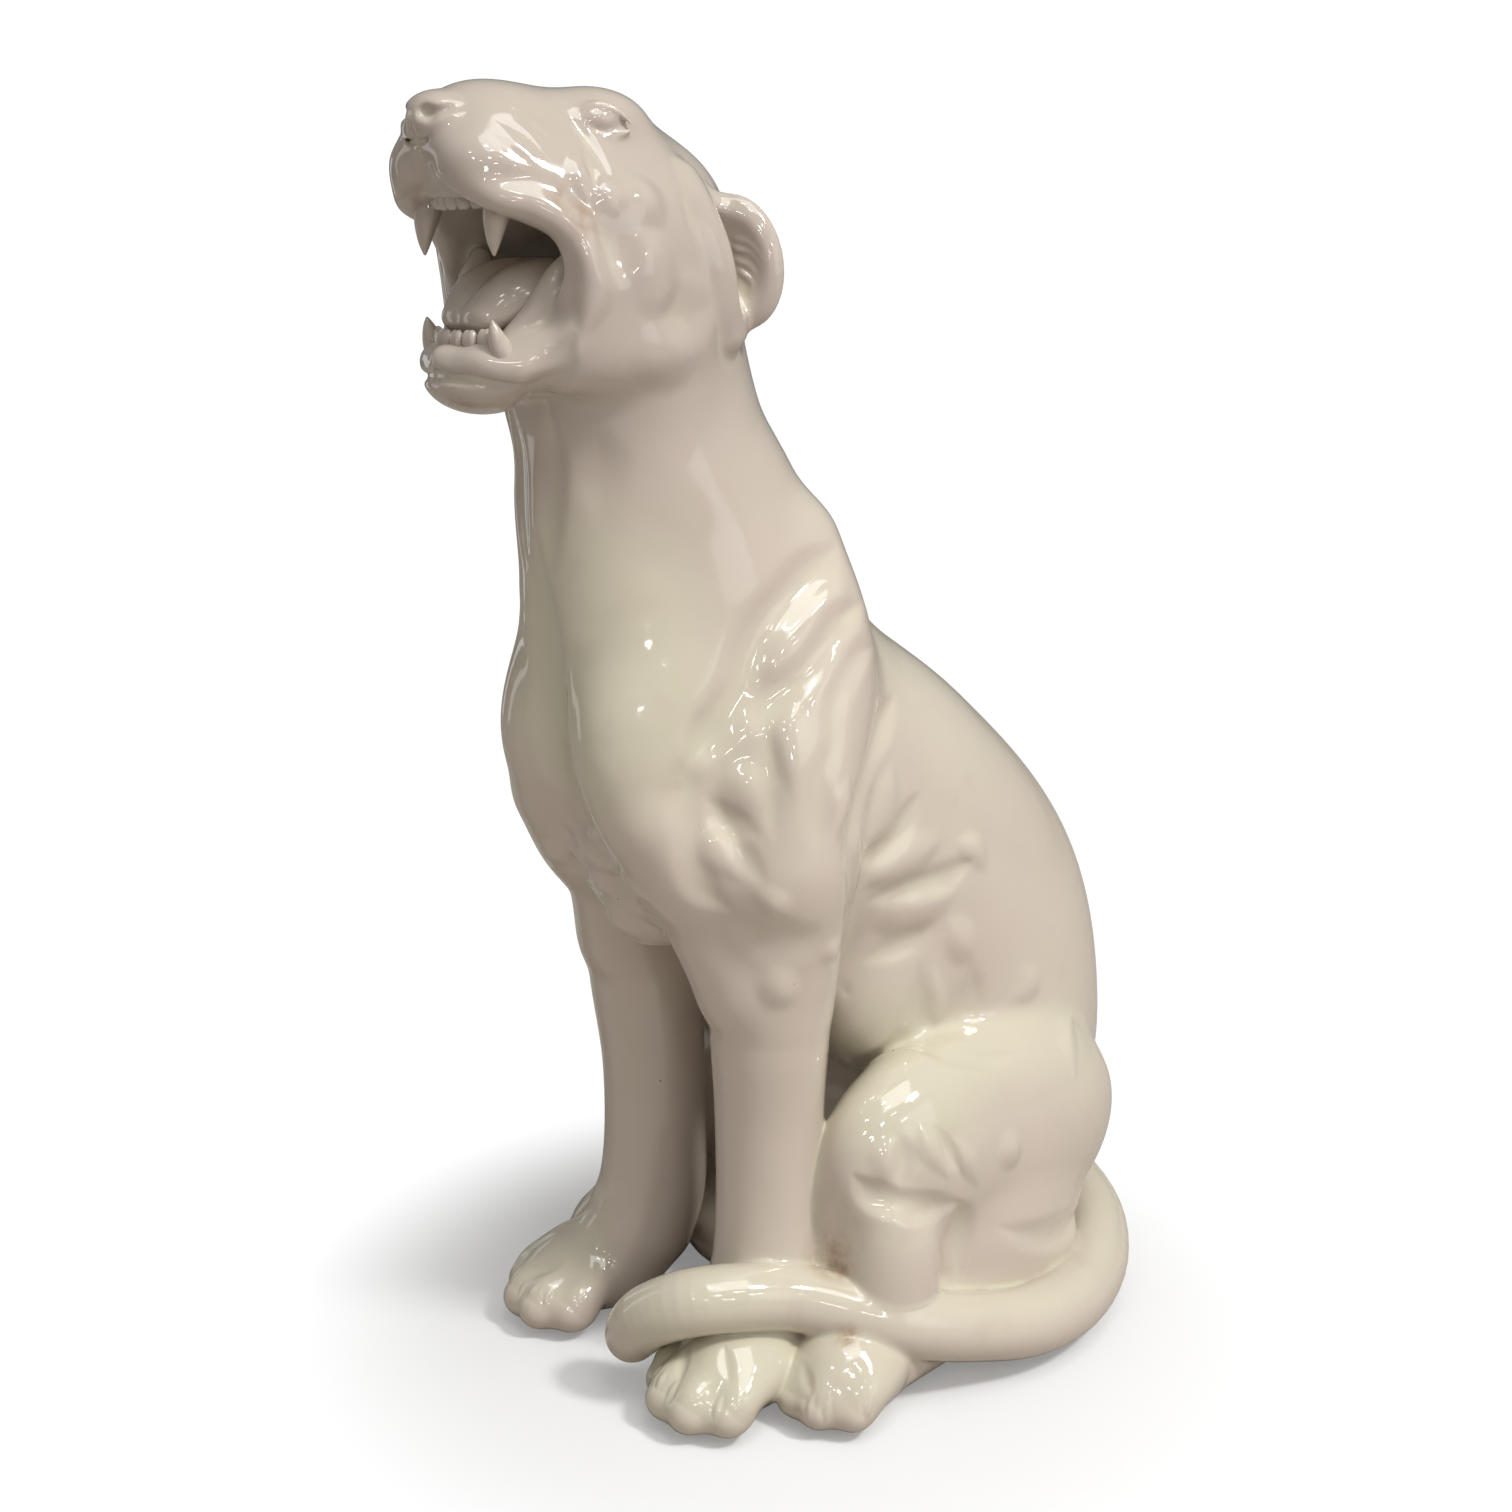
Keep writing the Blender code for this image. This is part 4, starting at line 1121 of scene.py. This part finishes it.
# %% [markdown]
# The tail is the whole roll, less what lies inside the rump, the haunch and the leg. Where it rests on them
# the fillet of slip has already joined the skins, so no trimming is needed.

# %% Tail section
joined, foreleg_share, tail_share = model_window((-110, -140, -5), (220, 360, 130), 1.7)
section("tail", ready(joined), np.maximum(joined.far, tail_share), [])

# %% [markdown]
# The head section holds the upper jaw. The lower jaw was cast apart, and its joint is an L: one plane
# leans up towards the front from the hinge line, the other leans down behind it. Both sides of the
# cut get the same faces, so the seam closes exactly. The ears are stuck on, like the forelegs.

# %% Head, lower jaw and ears
JAW_HINGE = np.array([0.0, -122.0, 742.0])
JAW_LEAN = math.radians(20.0)
jaw_up = Vector((0, math.sin(JAW_LEAN), math.cos(JAW_LEAN)))
jaw_back = Vector((0, math.cos(JAW_LEAN), -math.sin(JAW_LEAN)))
SEAM_STEP = 1e-6


def in_jaw(place):
    reach = place - Vector(JAW_HINGE)
    return reach.dot(jaw_up) < 0 and reach.dot(jaw_back) < 0


def cut_edges(bm, outward):
    """Add edges where a plane through the hinge line meets the mesh, near the jaw."""
    near = [face for face in bm.faces if face.calc_center_median().y / MM - STAND[1] < JAW_HINGE[1] + 60]
    bmesh.ops.bisect_plane(bm, geom=all_parts(near), dist=1e-7, plane_co=Vector(JAW_HINGE + STAND) * MM,
                           plane_no=outward)


def split_jaw(mesh):
    """Part a closed mesh along the jaw's joint into the upper head and the jaw."""
    jaw = bmesh.new()
    jaw.from_mesh(mesh)
    for outward in (jaw_up, jaw_back):
        trim(jaw, JAW_HINGE, outward)
    upper = bmesh.new()
    upper.from_mesh(mesh)
    for outward in (jaw_up, jaw_back):
        cut_edges(upper, outward)
    below = [face for face in upper.faces if in_jaw(middle_of(face))]
    bmesh.ops.delete(upper, geom=below, context="FACES")
    hinge = Vector(JAW_HINGE + STAND) * MM
    for face in jaw.faces:
        reach = [vert.co - hinge for vert in face.verts]
        if any(max(abs(step.dot(outward)) for step in reach) < SEAM_STEP for outward in (jaw_up, jaw_back)):
            upper.faces.new([upper.verts.new(vert.co) for vert in reversed(face.verts)])
    bmesh.ops.remove_doubles(upper, verts=upper.verts, dist=1e-5)
    rim = [edge for edge in upper.edges if edge.is_boundary]
    bmesh.ops.holes_fill(upper, edges=rim, sides=12)
    return upper, jaw


def settle(name, bm, block, soft_block):
    """Turn an edited mesh into a finished piece."""
    drop_crumbs(bm)
    mesh = bpy.data.meshes.new(name)
    pinched = sum(not edge.is_manifold for edge in bm.edges)
    bm.to_mesh(mesh)
    bm.free()
    shade(mesh, block, soft_block)
    print(f"{name}: {pinched} edges that aren't shared by two faces")
    return finish_piece(name, mesh, name)


head_low, head_high, head_cell = (-120, -250, 632), (120, 75, 890), 1.5
bare = Clay(head_low, head_high, head_cell)
model_trunk(bare)
model_head(bare)
model_flange(bare)
ear_clay = Clay(head_low, head_high, head_cell)
model_ears(ear_clay)
joined = Clay(head_low, head_high, head_cell)
joined.far = bare.far.copy()
model_ears(joined)
model_flange(joined)
draw_marks(joined, PLACED)
block, soft_block = ready(joined)
ear_share = ear_clay.far - bare.far

share = Clay(head_low, head_high, head_cell)
share.far = np.maximum(joined.far, -ear_share)
points, faces = share.skin()
whole = lay_mesh("head_whole", slide(block, points), faces)
bm = bmesh.new()
bm.from_mesh(whole)
trim(bm, (0, 0, NECK_JOINT_Z), (0, 0, -1))
drop_crumbs(bm)
bm.to_mesh(whole)
bm.free()
upper, jaw = split_jaw(whole)
settle("head", upper, block, soft_block)
settle("lower_jaw", jaw, block, soft_block)

for side, word in ((LEFT, "left"), (RIGHT, "right")):
    mine = joined.lines[0][:, None, None] * side
    share.far = np.maximum(np.maximum(joined.far, ear_share), 10 - mine)
    points, faces = share.skin()
    bm = bmesh.new()
    bm.from_mesh(lay_mesh("ear", slide(block, points), faces))
    settle("ear_" + word, bm, block, soft_block)
print("seconds:", round(time.time() - started, 1))

# %% [markdown]
# ## Tongue and teeth
#
# The tongue and every tooth or row of teeth were set into the wet clay, so each is a piece of its own
# with its root hidden. They are small, so they get finer cells. The front teeth repeat along a curve,
# which Geometry Nodes does: one tooth, modelled once, is set at even steps along a path.

# %% Small pieces of clay
def small_mesh(name, shapes, cell=0.7, margin=4.0):
    """A fine closed mesh of a few shapes; each is (shape, softness, pressed)."""
    solid = [shape for shape, _, pressed in shapes if not pressed]
    low = np.min([shape.low for shape in solid], 0) - margin
    high = np.max([shape.high for shape in solid], 0) + margin
    clay = Clay(low, high, cell)
    for shape, soft, pressed in shapes:
        if pressed:
            clay.press(shape, soft)
        else:
            clay.add(shape, soft)
    points, faces = clay.skin()
    mesh = lay_mesh(name, slide(clay, points), faces)
    soft_clay = Clay(low, high, cell)
    soft_clay.far = clay.far.copy()
    soft_clay.sponge(1.5)
    shade(mesh, clay, soft_clay)
    return mesh


# %% [markdown]
# The tongue is two lobes side by side with a shallow groove between them, pressed in last.


# %% Tongue
def tongue_lobe(side):
    rows = [(15, -116, 752, 18, 20), (17, -144, 750, 19, 21), (17, -163, 745, 16, 19),
            (12, -179, 735, 10, 15)]
    return Roll([(x * side, y, z, r, w) for x, y, z, r, w in rows], 30)


middle = Roll([(0, -116, 750, 16, 20), (0, -144, 748, 17, 20), (0, -163, 743, 14, 18),
               (0, -179, 734, 9, 14)], 30)
groove = Roll([(0, -186, 744, 1), (0, -170, 763, 2.5), (0, -150, 772, 3), (0, -120, 776, 3)], 24)
tongue_shapes = [(tongue_lobe(LEFT), 1, False), (tongue_lobe(RIGHT), 3, False), (middle, 5, False),
                 (groove, 6, True)]
finish_piece("tongue", small_mesh("tongue", tongue_shapes, 0.9), "tongue")


# %% [markdown]
# The four fangs are the sharpest forms on the figure. A cone would look turned on a lathe. A roll that
# tapers and bends a little backwards looks pulled from clay, and its root runs on into the gum.


# %% Canines
def canine(base, tip, radius, root):
    """A pointed tooth, a little bent backwards, with its root buried."""
    base, tip = np.array(base, float), np.array(tip, float)
    along = (tip - base) / np.linalg.norm(tip - base)
    bend = np.array([0.0, -0.045 * np.linalg.norm(tip - base), 0.0])
    rows = [tuple(base - root * along) + (radius * 0.95,)]
    for share, size in ((0.0, 1.0), (0.25, 0.9), (0.5, 0.7), (0.75, 0.45), (0.92, 0.22), (1.0, 0.1)):
        place = base + (tip - base) * share + bend * math.sin(math.pi * share)
        rows.append(tuple(place) + (radius * size,))
    return Roll(rows, 40)


def finish_fang(kind, word, fang):
    name = kind + "_" + word
    finish_piece(name, small_mesh(kind, [(fang, 1, False)]), name)


for side, word in ((LEFT, "left"), (RIGHT, "right")):
    fang = canine((38 * side, -181.5, 803), (38 * side, -186.5, 771), 9.0, 8)
    finish_fang("upper_canine", word, fang)
    fang = canine((37 * side, -180, 712), (36 * side, -188, 734), 8.0, 6)
    finish_fang("lower_canine", word, fang)


# %% [markdown]
# The small teeth stand in a row along the curve of the gum. Copies could be placed by hand, one by one.
# Geometry Nodes need only the tooth, the path and the count, and turn each tooth along the path.


# %% A row of teeth along a path
def socket(group, name):
    found = (item for item in group.interface.items_tree if item.name == name and item.in_out == "INPUT")
    return next(found).identifier


def make_row_group():
    """Nodes that set one object at even steps along a path, turned with it."""
    group = bpy.data.node_groups.new("teeth_along_a_path", "GeometryNodeTree")
    group.interface.new_socket("Path", in_out="INPUT", socket_type="NodeSocketGeometry")
    group.interface.new_socket("Tooth", in_out="INPUT", socket_type="NodeSocketObject")
    group.interface.new_socket("Count", in_out="INPUT", socket_type="NodeSocketInt")
    group.interface.new_socket("Material", in_out="INPUT", socket_type="NodeSocketMaterial")
    group.interface.new_socket("Teeth", in_out="OUTPUT", socket_type="NodeSocketGeometry")
    nodes, link = group.nodes, group.links.new
    inputs, output = nodes.new("NodeGroupInput"), nodes.new("NodeGroupOutput")
    curve = nodes.new("GeometryNodeMeshToCurve")
    steps = nodes.new("GeometryNodeResampleCurve")
    tangent = nodes.new("GeometryNodeInputTangent")
    turn = nodes.new("FunctionNodeAlignRotationToVector")
    turn.axis = "X"
    tooth = nodes.new("GeometryNodeObjectInfo")
    placed = nodes.new("GeometryNodeInstanceOnPoints")
    real = nodes.new("GeometryNodeRealizeInstances")
    paint = nodes.new("GeometryNodeSetMaterial")
    link(inputs.outputs["Path"], curve.inputs["Mesh"])
    link(curve.outputs["Curve"], steps.inputs["Curve"])
    link(inputs.outputs["Count"], steps.inputs["Count"])
    link(tangent.outputs["Tangent"], turn.inputs["Vector"])
    link(inputs.outputs["Tooth"], tooth.inputs["Object"])
    link(steps.outputs["Curve"], placed.inputs["Points"])
    link(tooth.outputs["Geometry"], placed.inputs["Instance"])
    link(turn.outputs["Rotation"], placed.inputs["Rotation"])
    link(placed.outputs["Instances"], real.inputs["Geometry"])
    link(real.outputs["Geometry"], paint.inputs["Geometry"])
    link(inputs.outputs["Material"], paint.inputs["Material"])
    link(paint.outputs["Geometry"], output.inputs["Teeth"])
    return group


row_group = make_row_group()


def teeth_row(name, path, tooth, count):
    """Run the nodes on a path of points, and keep the result as a plain mesh."""
    line = bpy.data.meshes.new(name + "_path")
    fine = Roll.through(np.array([tuple(place) + (1.0, 1.0) for place in path], float), 24)[:, :3]
    points = [tuple((place + STAND) * MM) for place in fine]
    line.from_pydata(points, [(i, i + 1) for i in range(len(points) - 1)], [])
    maker = bpy.data.objects.new(name + "_maker", line)
    bpy.context.scene.collection.objects.link(maker)
    nodes = maker.modifiers.new("row", "NODES")
    nodes.node_group = row_group
    nodes[socket(row_group, "Tooth")] = tooth
    nodes[socket(row_group, "Count")] = count
    nodes[socket(row_group, "Material")] = glaze
    graph = bpy.context.evaluated_depsgraph_get()
    mesh = bpy.data.meshes.new_from_object(maker.evaluated_get(graph))
    bpy.data.objects.remove(maker)
    return finish_piece(name, mesh, name)


def single_tooth(name, shapes):
    """One tooth about the origin, kept out of sight."""
    mesh = small_mesh(name, shapes, 0.45, 2.0)
    mesh.transform(Matrix.Translation(Vector(-STAND) * MM))
    tooth = bpy.data.objects.new(name, mesh)
    return tooth


def square_tooth(name, wide, deep, high):
    """Two balls side by side, which gives a front tooth its flat, square face."""
    halves = [Ball((side * 0.32 * wide, 0, 0), (0.66 * wide, deep, high)) for side in (LEFT, RIGHT)]
    return single_tooth(name, [(halves[0], 1, False), (halves[1], 1.5, False)])


# %% [markdown]
# A front tooth is nearly square seen from the front, so it is two balls side by side. A cheek tooth has a
# broad foot with a point on it.

# %% The rows of teeth
upper_tooth = square_tooth("upper_tooth", 5.2, 3.0, 5.0)
lower_tooth = square_tooth("lower_tooth", 5.4, 3.4, 6.4)
cheek_tooth = single_tooth("cheek_tooth", [(Ball((0, 0, 0), (5.0, 2.8, 7.5)), 1, False),
                                           (Ball((0, 0, 3.0), (2.6, 2.6, 6.5)), 3, False)])
upper_gum = [(-23, -187, 801.5), (-9, -192, 801), (9, -192, 801), (23, -187, 801.5)]
lower_gum = [(-26, -186.5, 723), (-10, -192.5, 722), (10, -192.5, 722), (26, -186.5, 723)]
teeth_row("upper_incisors", upper_gum, upper_tooth, 6)
teeth_row("lower_incisors", lower_gum, lower_tooth, 6)
for side, word in ((LEFT, "left"), (RIGHT, "right")):
    row = [(44 * side, -155, 748), (47 * side, -149, 754), (50 * side, -141, 759)]
    teeth_row("cheek_teeth_" + word, row, cheek_tooth, 3)

# %% [markdown]
# ## Coat and studio
#
# The figure was glazed whole, so one material covers teeth, tongue and all. The small bumpers under the
# paws aren't clay. They stay as the frame gives them.

# %% Coat every piece
for piece in FINISHED:
    piece.data.materials.clear()
    piece.data.materials.append(glaze)
print("pieces in the glaze:", len(FINISHED))

# %% [markdown]
# The floor has to look white to the camera and still hold a soft shadow close to the paws. It could be lit
# until it clips, but that would bleach the figure too. So the floor's own colour does it: paper near the
# middle, and plain white further out, for camera rays alone.


# %% Floor
BLANK_WHITE = 1.05
PAPER_REACH = (0.22, 0.42)


def ray_is(kind):
    return Wire.node("ShaderNodeLightPath", output=kind)


floor_mesh = bpy.data.meshes.new("floor")
floor_mesh.from_pydata([(-30, -30, 0), (30, -30, 0), (30, 30, 0), (-30, 30, 0)], [], [(0, 1, 2, 3)])
floor = bpy.data.objects.new("floor", floor_mesh)
bpy.context.scene.collection.objects.link(floor)
white = bpy.data.materials.new("white_floor")
white.use_nodes = True
white.node_tree.nodes.clear()
Wire.tree = white.node_tree
place = Wire.node("ShaderNodeTexCoord", output="Object")
away = Wire.node("ShaderNodeVectorMath", {"operation": "LENGTH"}, {0: place}, output="Value")
paper = Wire.node("ShaderNodeBsdfDiffuse", {}, {"Color": (0.62, 0.62, 0.62, 1)})
lift = Wire.node("ShaderNodeEmission", {}, {"Color": (1, 1, 1, 1), "Strength": 0.22})
paper = Wire.node("ShaderNodeAddShader", {}, {0: paper, 1: lift})
blank = Wire.node("ShaderNodeEmission", {}, {"Color": (1, 1, 1, 1), "Strength": BLANK_WHITE})
seen = Wire.node("ShaderNodeMixShader", {}, {0: away.step(*PAPER_REACH), 1: paper, 2: blank})
unseen = Wire.node("ShaderNodeBsdfDiffuse", {}, {"Color": (0.46, 0.43, 0.38, 1)})
surface = Wire.node("ShaderNodeMixShader", {}, {0: ray_is("Is Camera Ray"), 1: unseen, 2: seen})
Wire.node("ShaderNodeOutputMaterial", {}, {"Surface": surface}, output=None)
floor_mesh.materials.append(white)
print("floor: paper out to", PAPER_REACH, "m")

# %% [markdown]
# The camera was fitted to the outline in the photograph. It is 50 degrees round from the face towards the
# left side, a little lower than the top of the head, and looks 14.5 degrees down. A view without
# perspective would be simpler, but would show the paws too large for the head.

# %% Camera
PHOTO_SIDE, FOCAL_LENGTH, SENSOR = 1512, 2000, 36
AIM_X, AIM_Y, REACH, EYE_HEIGHT = 78, -25, 1250, 780
camera_data = bpy.data.cameras.new("camera")
camera = bpy.data.objects.new("camera", camera_data)
bpy.context.scene.collection.objects.link(camera)
AZIMUTH, PITCH = math.radians(50), math.radians(14.5)
stand = Vector((AIM_X + REACH * math.sin(AZIMUTH), AIM_Y - REACH * math.cos(AZIMUTH), EYE_HEIGHT))
camera.location = (stand + Vector(STAND)) * MM
camera.rotation_euler = (math.pi / 2 - PITCH, 0, AZIMUTH)
camera_data.sensor_width = SENSOR
camera_data.lens = SENSOR * FOCAL_LENGTH / PHOTO_SIDE
bpy.context.scene.camera = camera
bpy.context.scene.view_settings.view_transform = "Standard"
print("camera at, m:", [round(value, 3) for value in camera.location])

# %% [markdown]
# The world is three things at once: white behind the figure, a grey room that lights it from all round,
# and a darker room in the reflections, so that the glaze keeps its depth.

# %% World
world = bpy.data.worlds.new("studio")
bpy.context.scene.world = world
world.use_nodes = True
world.node_tree.nodes.clear()
Wire.tree = world.node_tree
backdrop = Wire.node("ShaderNodeBackground", {}, {"Color": (1, 1, 1, 1), "Strength": BLANK_WHITE})
room = Wire.node("ShaderNodeBackground", {}, {"Color": (1.0, 0.985, 0.96, 1), "Strength": 0.31})
gloom = Wire.node("ShaderNodeBackground", {}, {"Color": (1.0, 0.985, 0.96, 1), "Strength": 0.20})
surface = Wire.node("ShaderNodeMixShader", {}, {0: ray_is("Is Glossy Ray"), 1: room, 2: gloom})
surface = Wire.node("ShaderNodeMixShader", {}, {0: ray_is("Is Camera Ray"), 1: surface, 2: backdrop})
Wire.node("ShaderNodeOutputWorld", {}, {"Surface": surface}, output=None)
print("nodes in the world:", len(world.node_tree.nodes))

# %% [markdown]
# Glossy glaze shows the lamps themselves, so their shapes matter as much as their power. Two broad ones
# give the light, dim windows draw long edges down the sides, and small bright tubes and squares make the
# many sharp highlights on the folds.


# %% Lamps
def lamp_from(azimuth, height, distance):
    """A place around the animal: degrees round from its face, degrees up, and metres away."""
    turn, rise = math.radians(azimuth), math.radians(height)
    flat = distance * math.cos(rise)
    return flat * math.sin(turn), -flat * math.cos(turn), distance * math.sin(rise)


def soft_lamp(name, place, size, power, aim=(0, 0, 0.5)):
    data = bpy.data.lights.new(name, "AREA")
    data.shape = "RECTANGLE"
    data.size, data.size_y = size
    data.energy = power
    lamp = bpy.data.objects.new(name, data)
    bpy.context.scene.collection.objects.link(lamp)
    lamp.location = place
    lamp.rotation_euler = (Vector(aim) - Vector(place)).to_track_quat("-Z", "Y").to_euler()


def panel(name, azimuth, height, size, glow, distance=2.8):
    """A lamp given by how bright it looks; its watts follow from its size."""
    soft_lamp(name, lamp_from(azimuth, height, distance), size, glow * math.pi * size[0] * size[1])


panel("key", 78, 68, (2.0, 2.0), 3.3, 4.0)
panel("skylight", 104, 52, (0.9, 0.9), 98, 6.8)
panel("window_right", 98, 26, (1.3, 1.3), 0.9)
panel("window_left", -55, 15, (0.4, 1.8), 0.9)
panel("window_far", -85, 10, (0.4, 1.4), 0.7)
TUBES = [(62, 58), (74, 46), (48, 66), (86, 34), (20, 50), (52, 20), (44, 30), (66, 26)]
SQUARES = [(58, 40), (95, 52), (30, 36)]
SMALL_GLOW = 26
for number, (azimuth, height) in enumerate(TUBES):
    panel("tube_" + str(number), azimuth, height, (0.24, 0.05), SMALL_GLOW)
for number, (azimuth, height) in enumerate(SQUARES):
    panel("square_" + str(number), azimuth, height, (0.16, 0.12), SMALL_GLOW)
print("lamps:", len(bpy.data.lights))
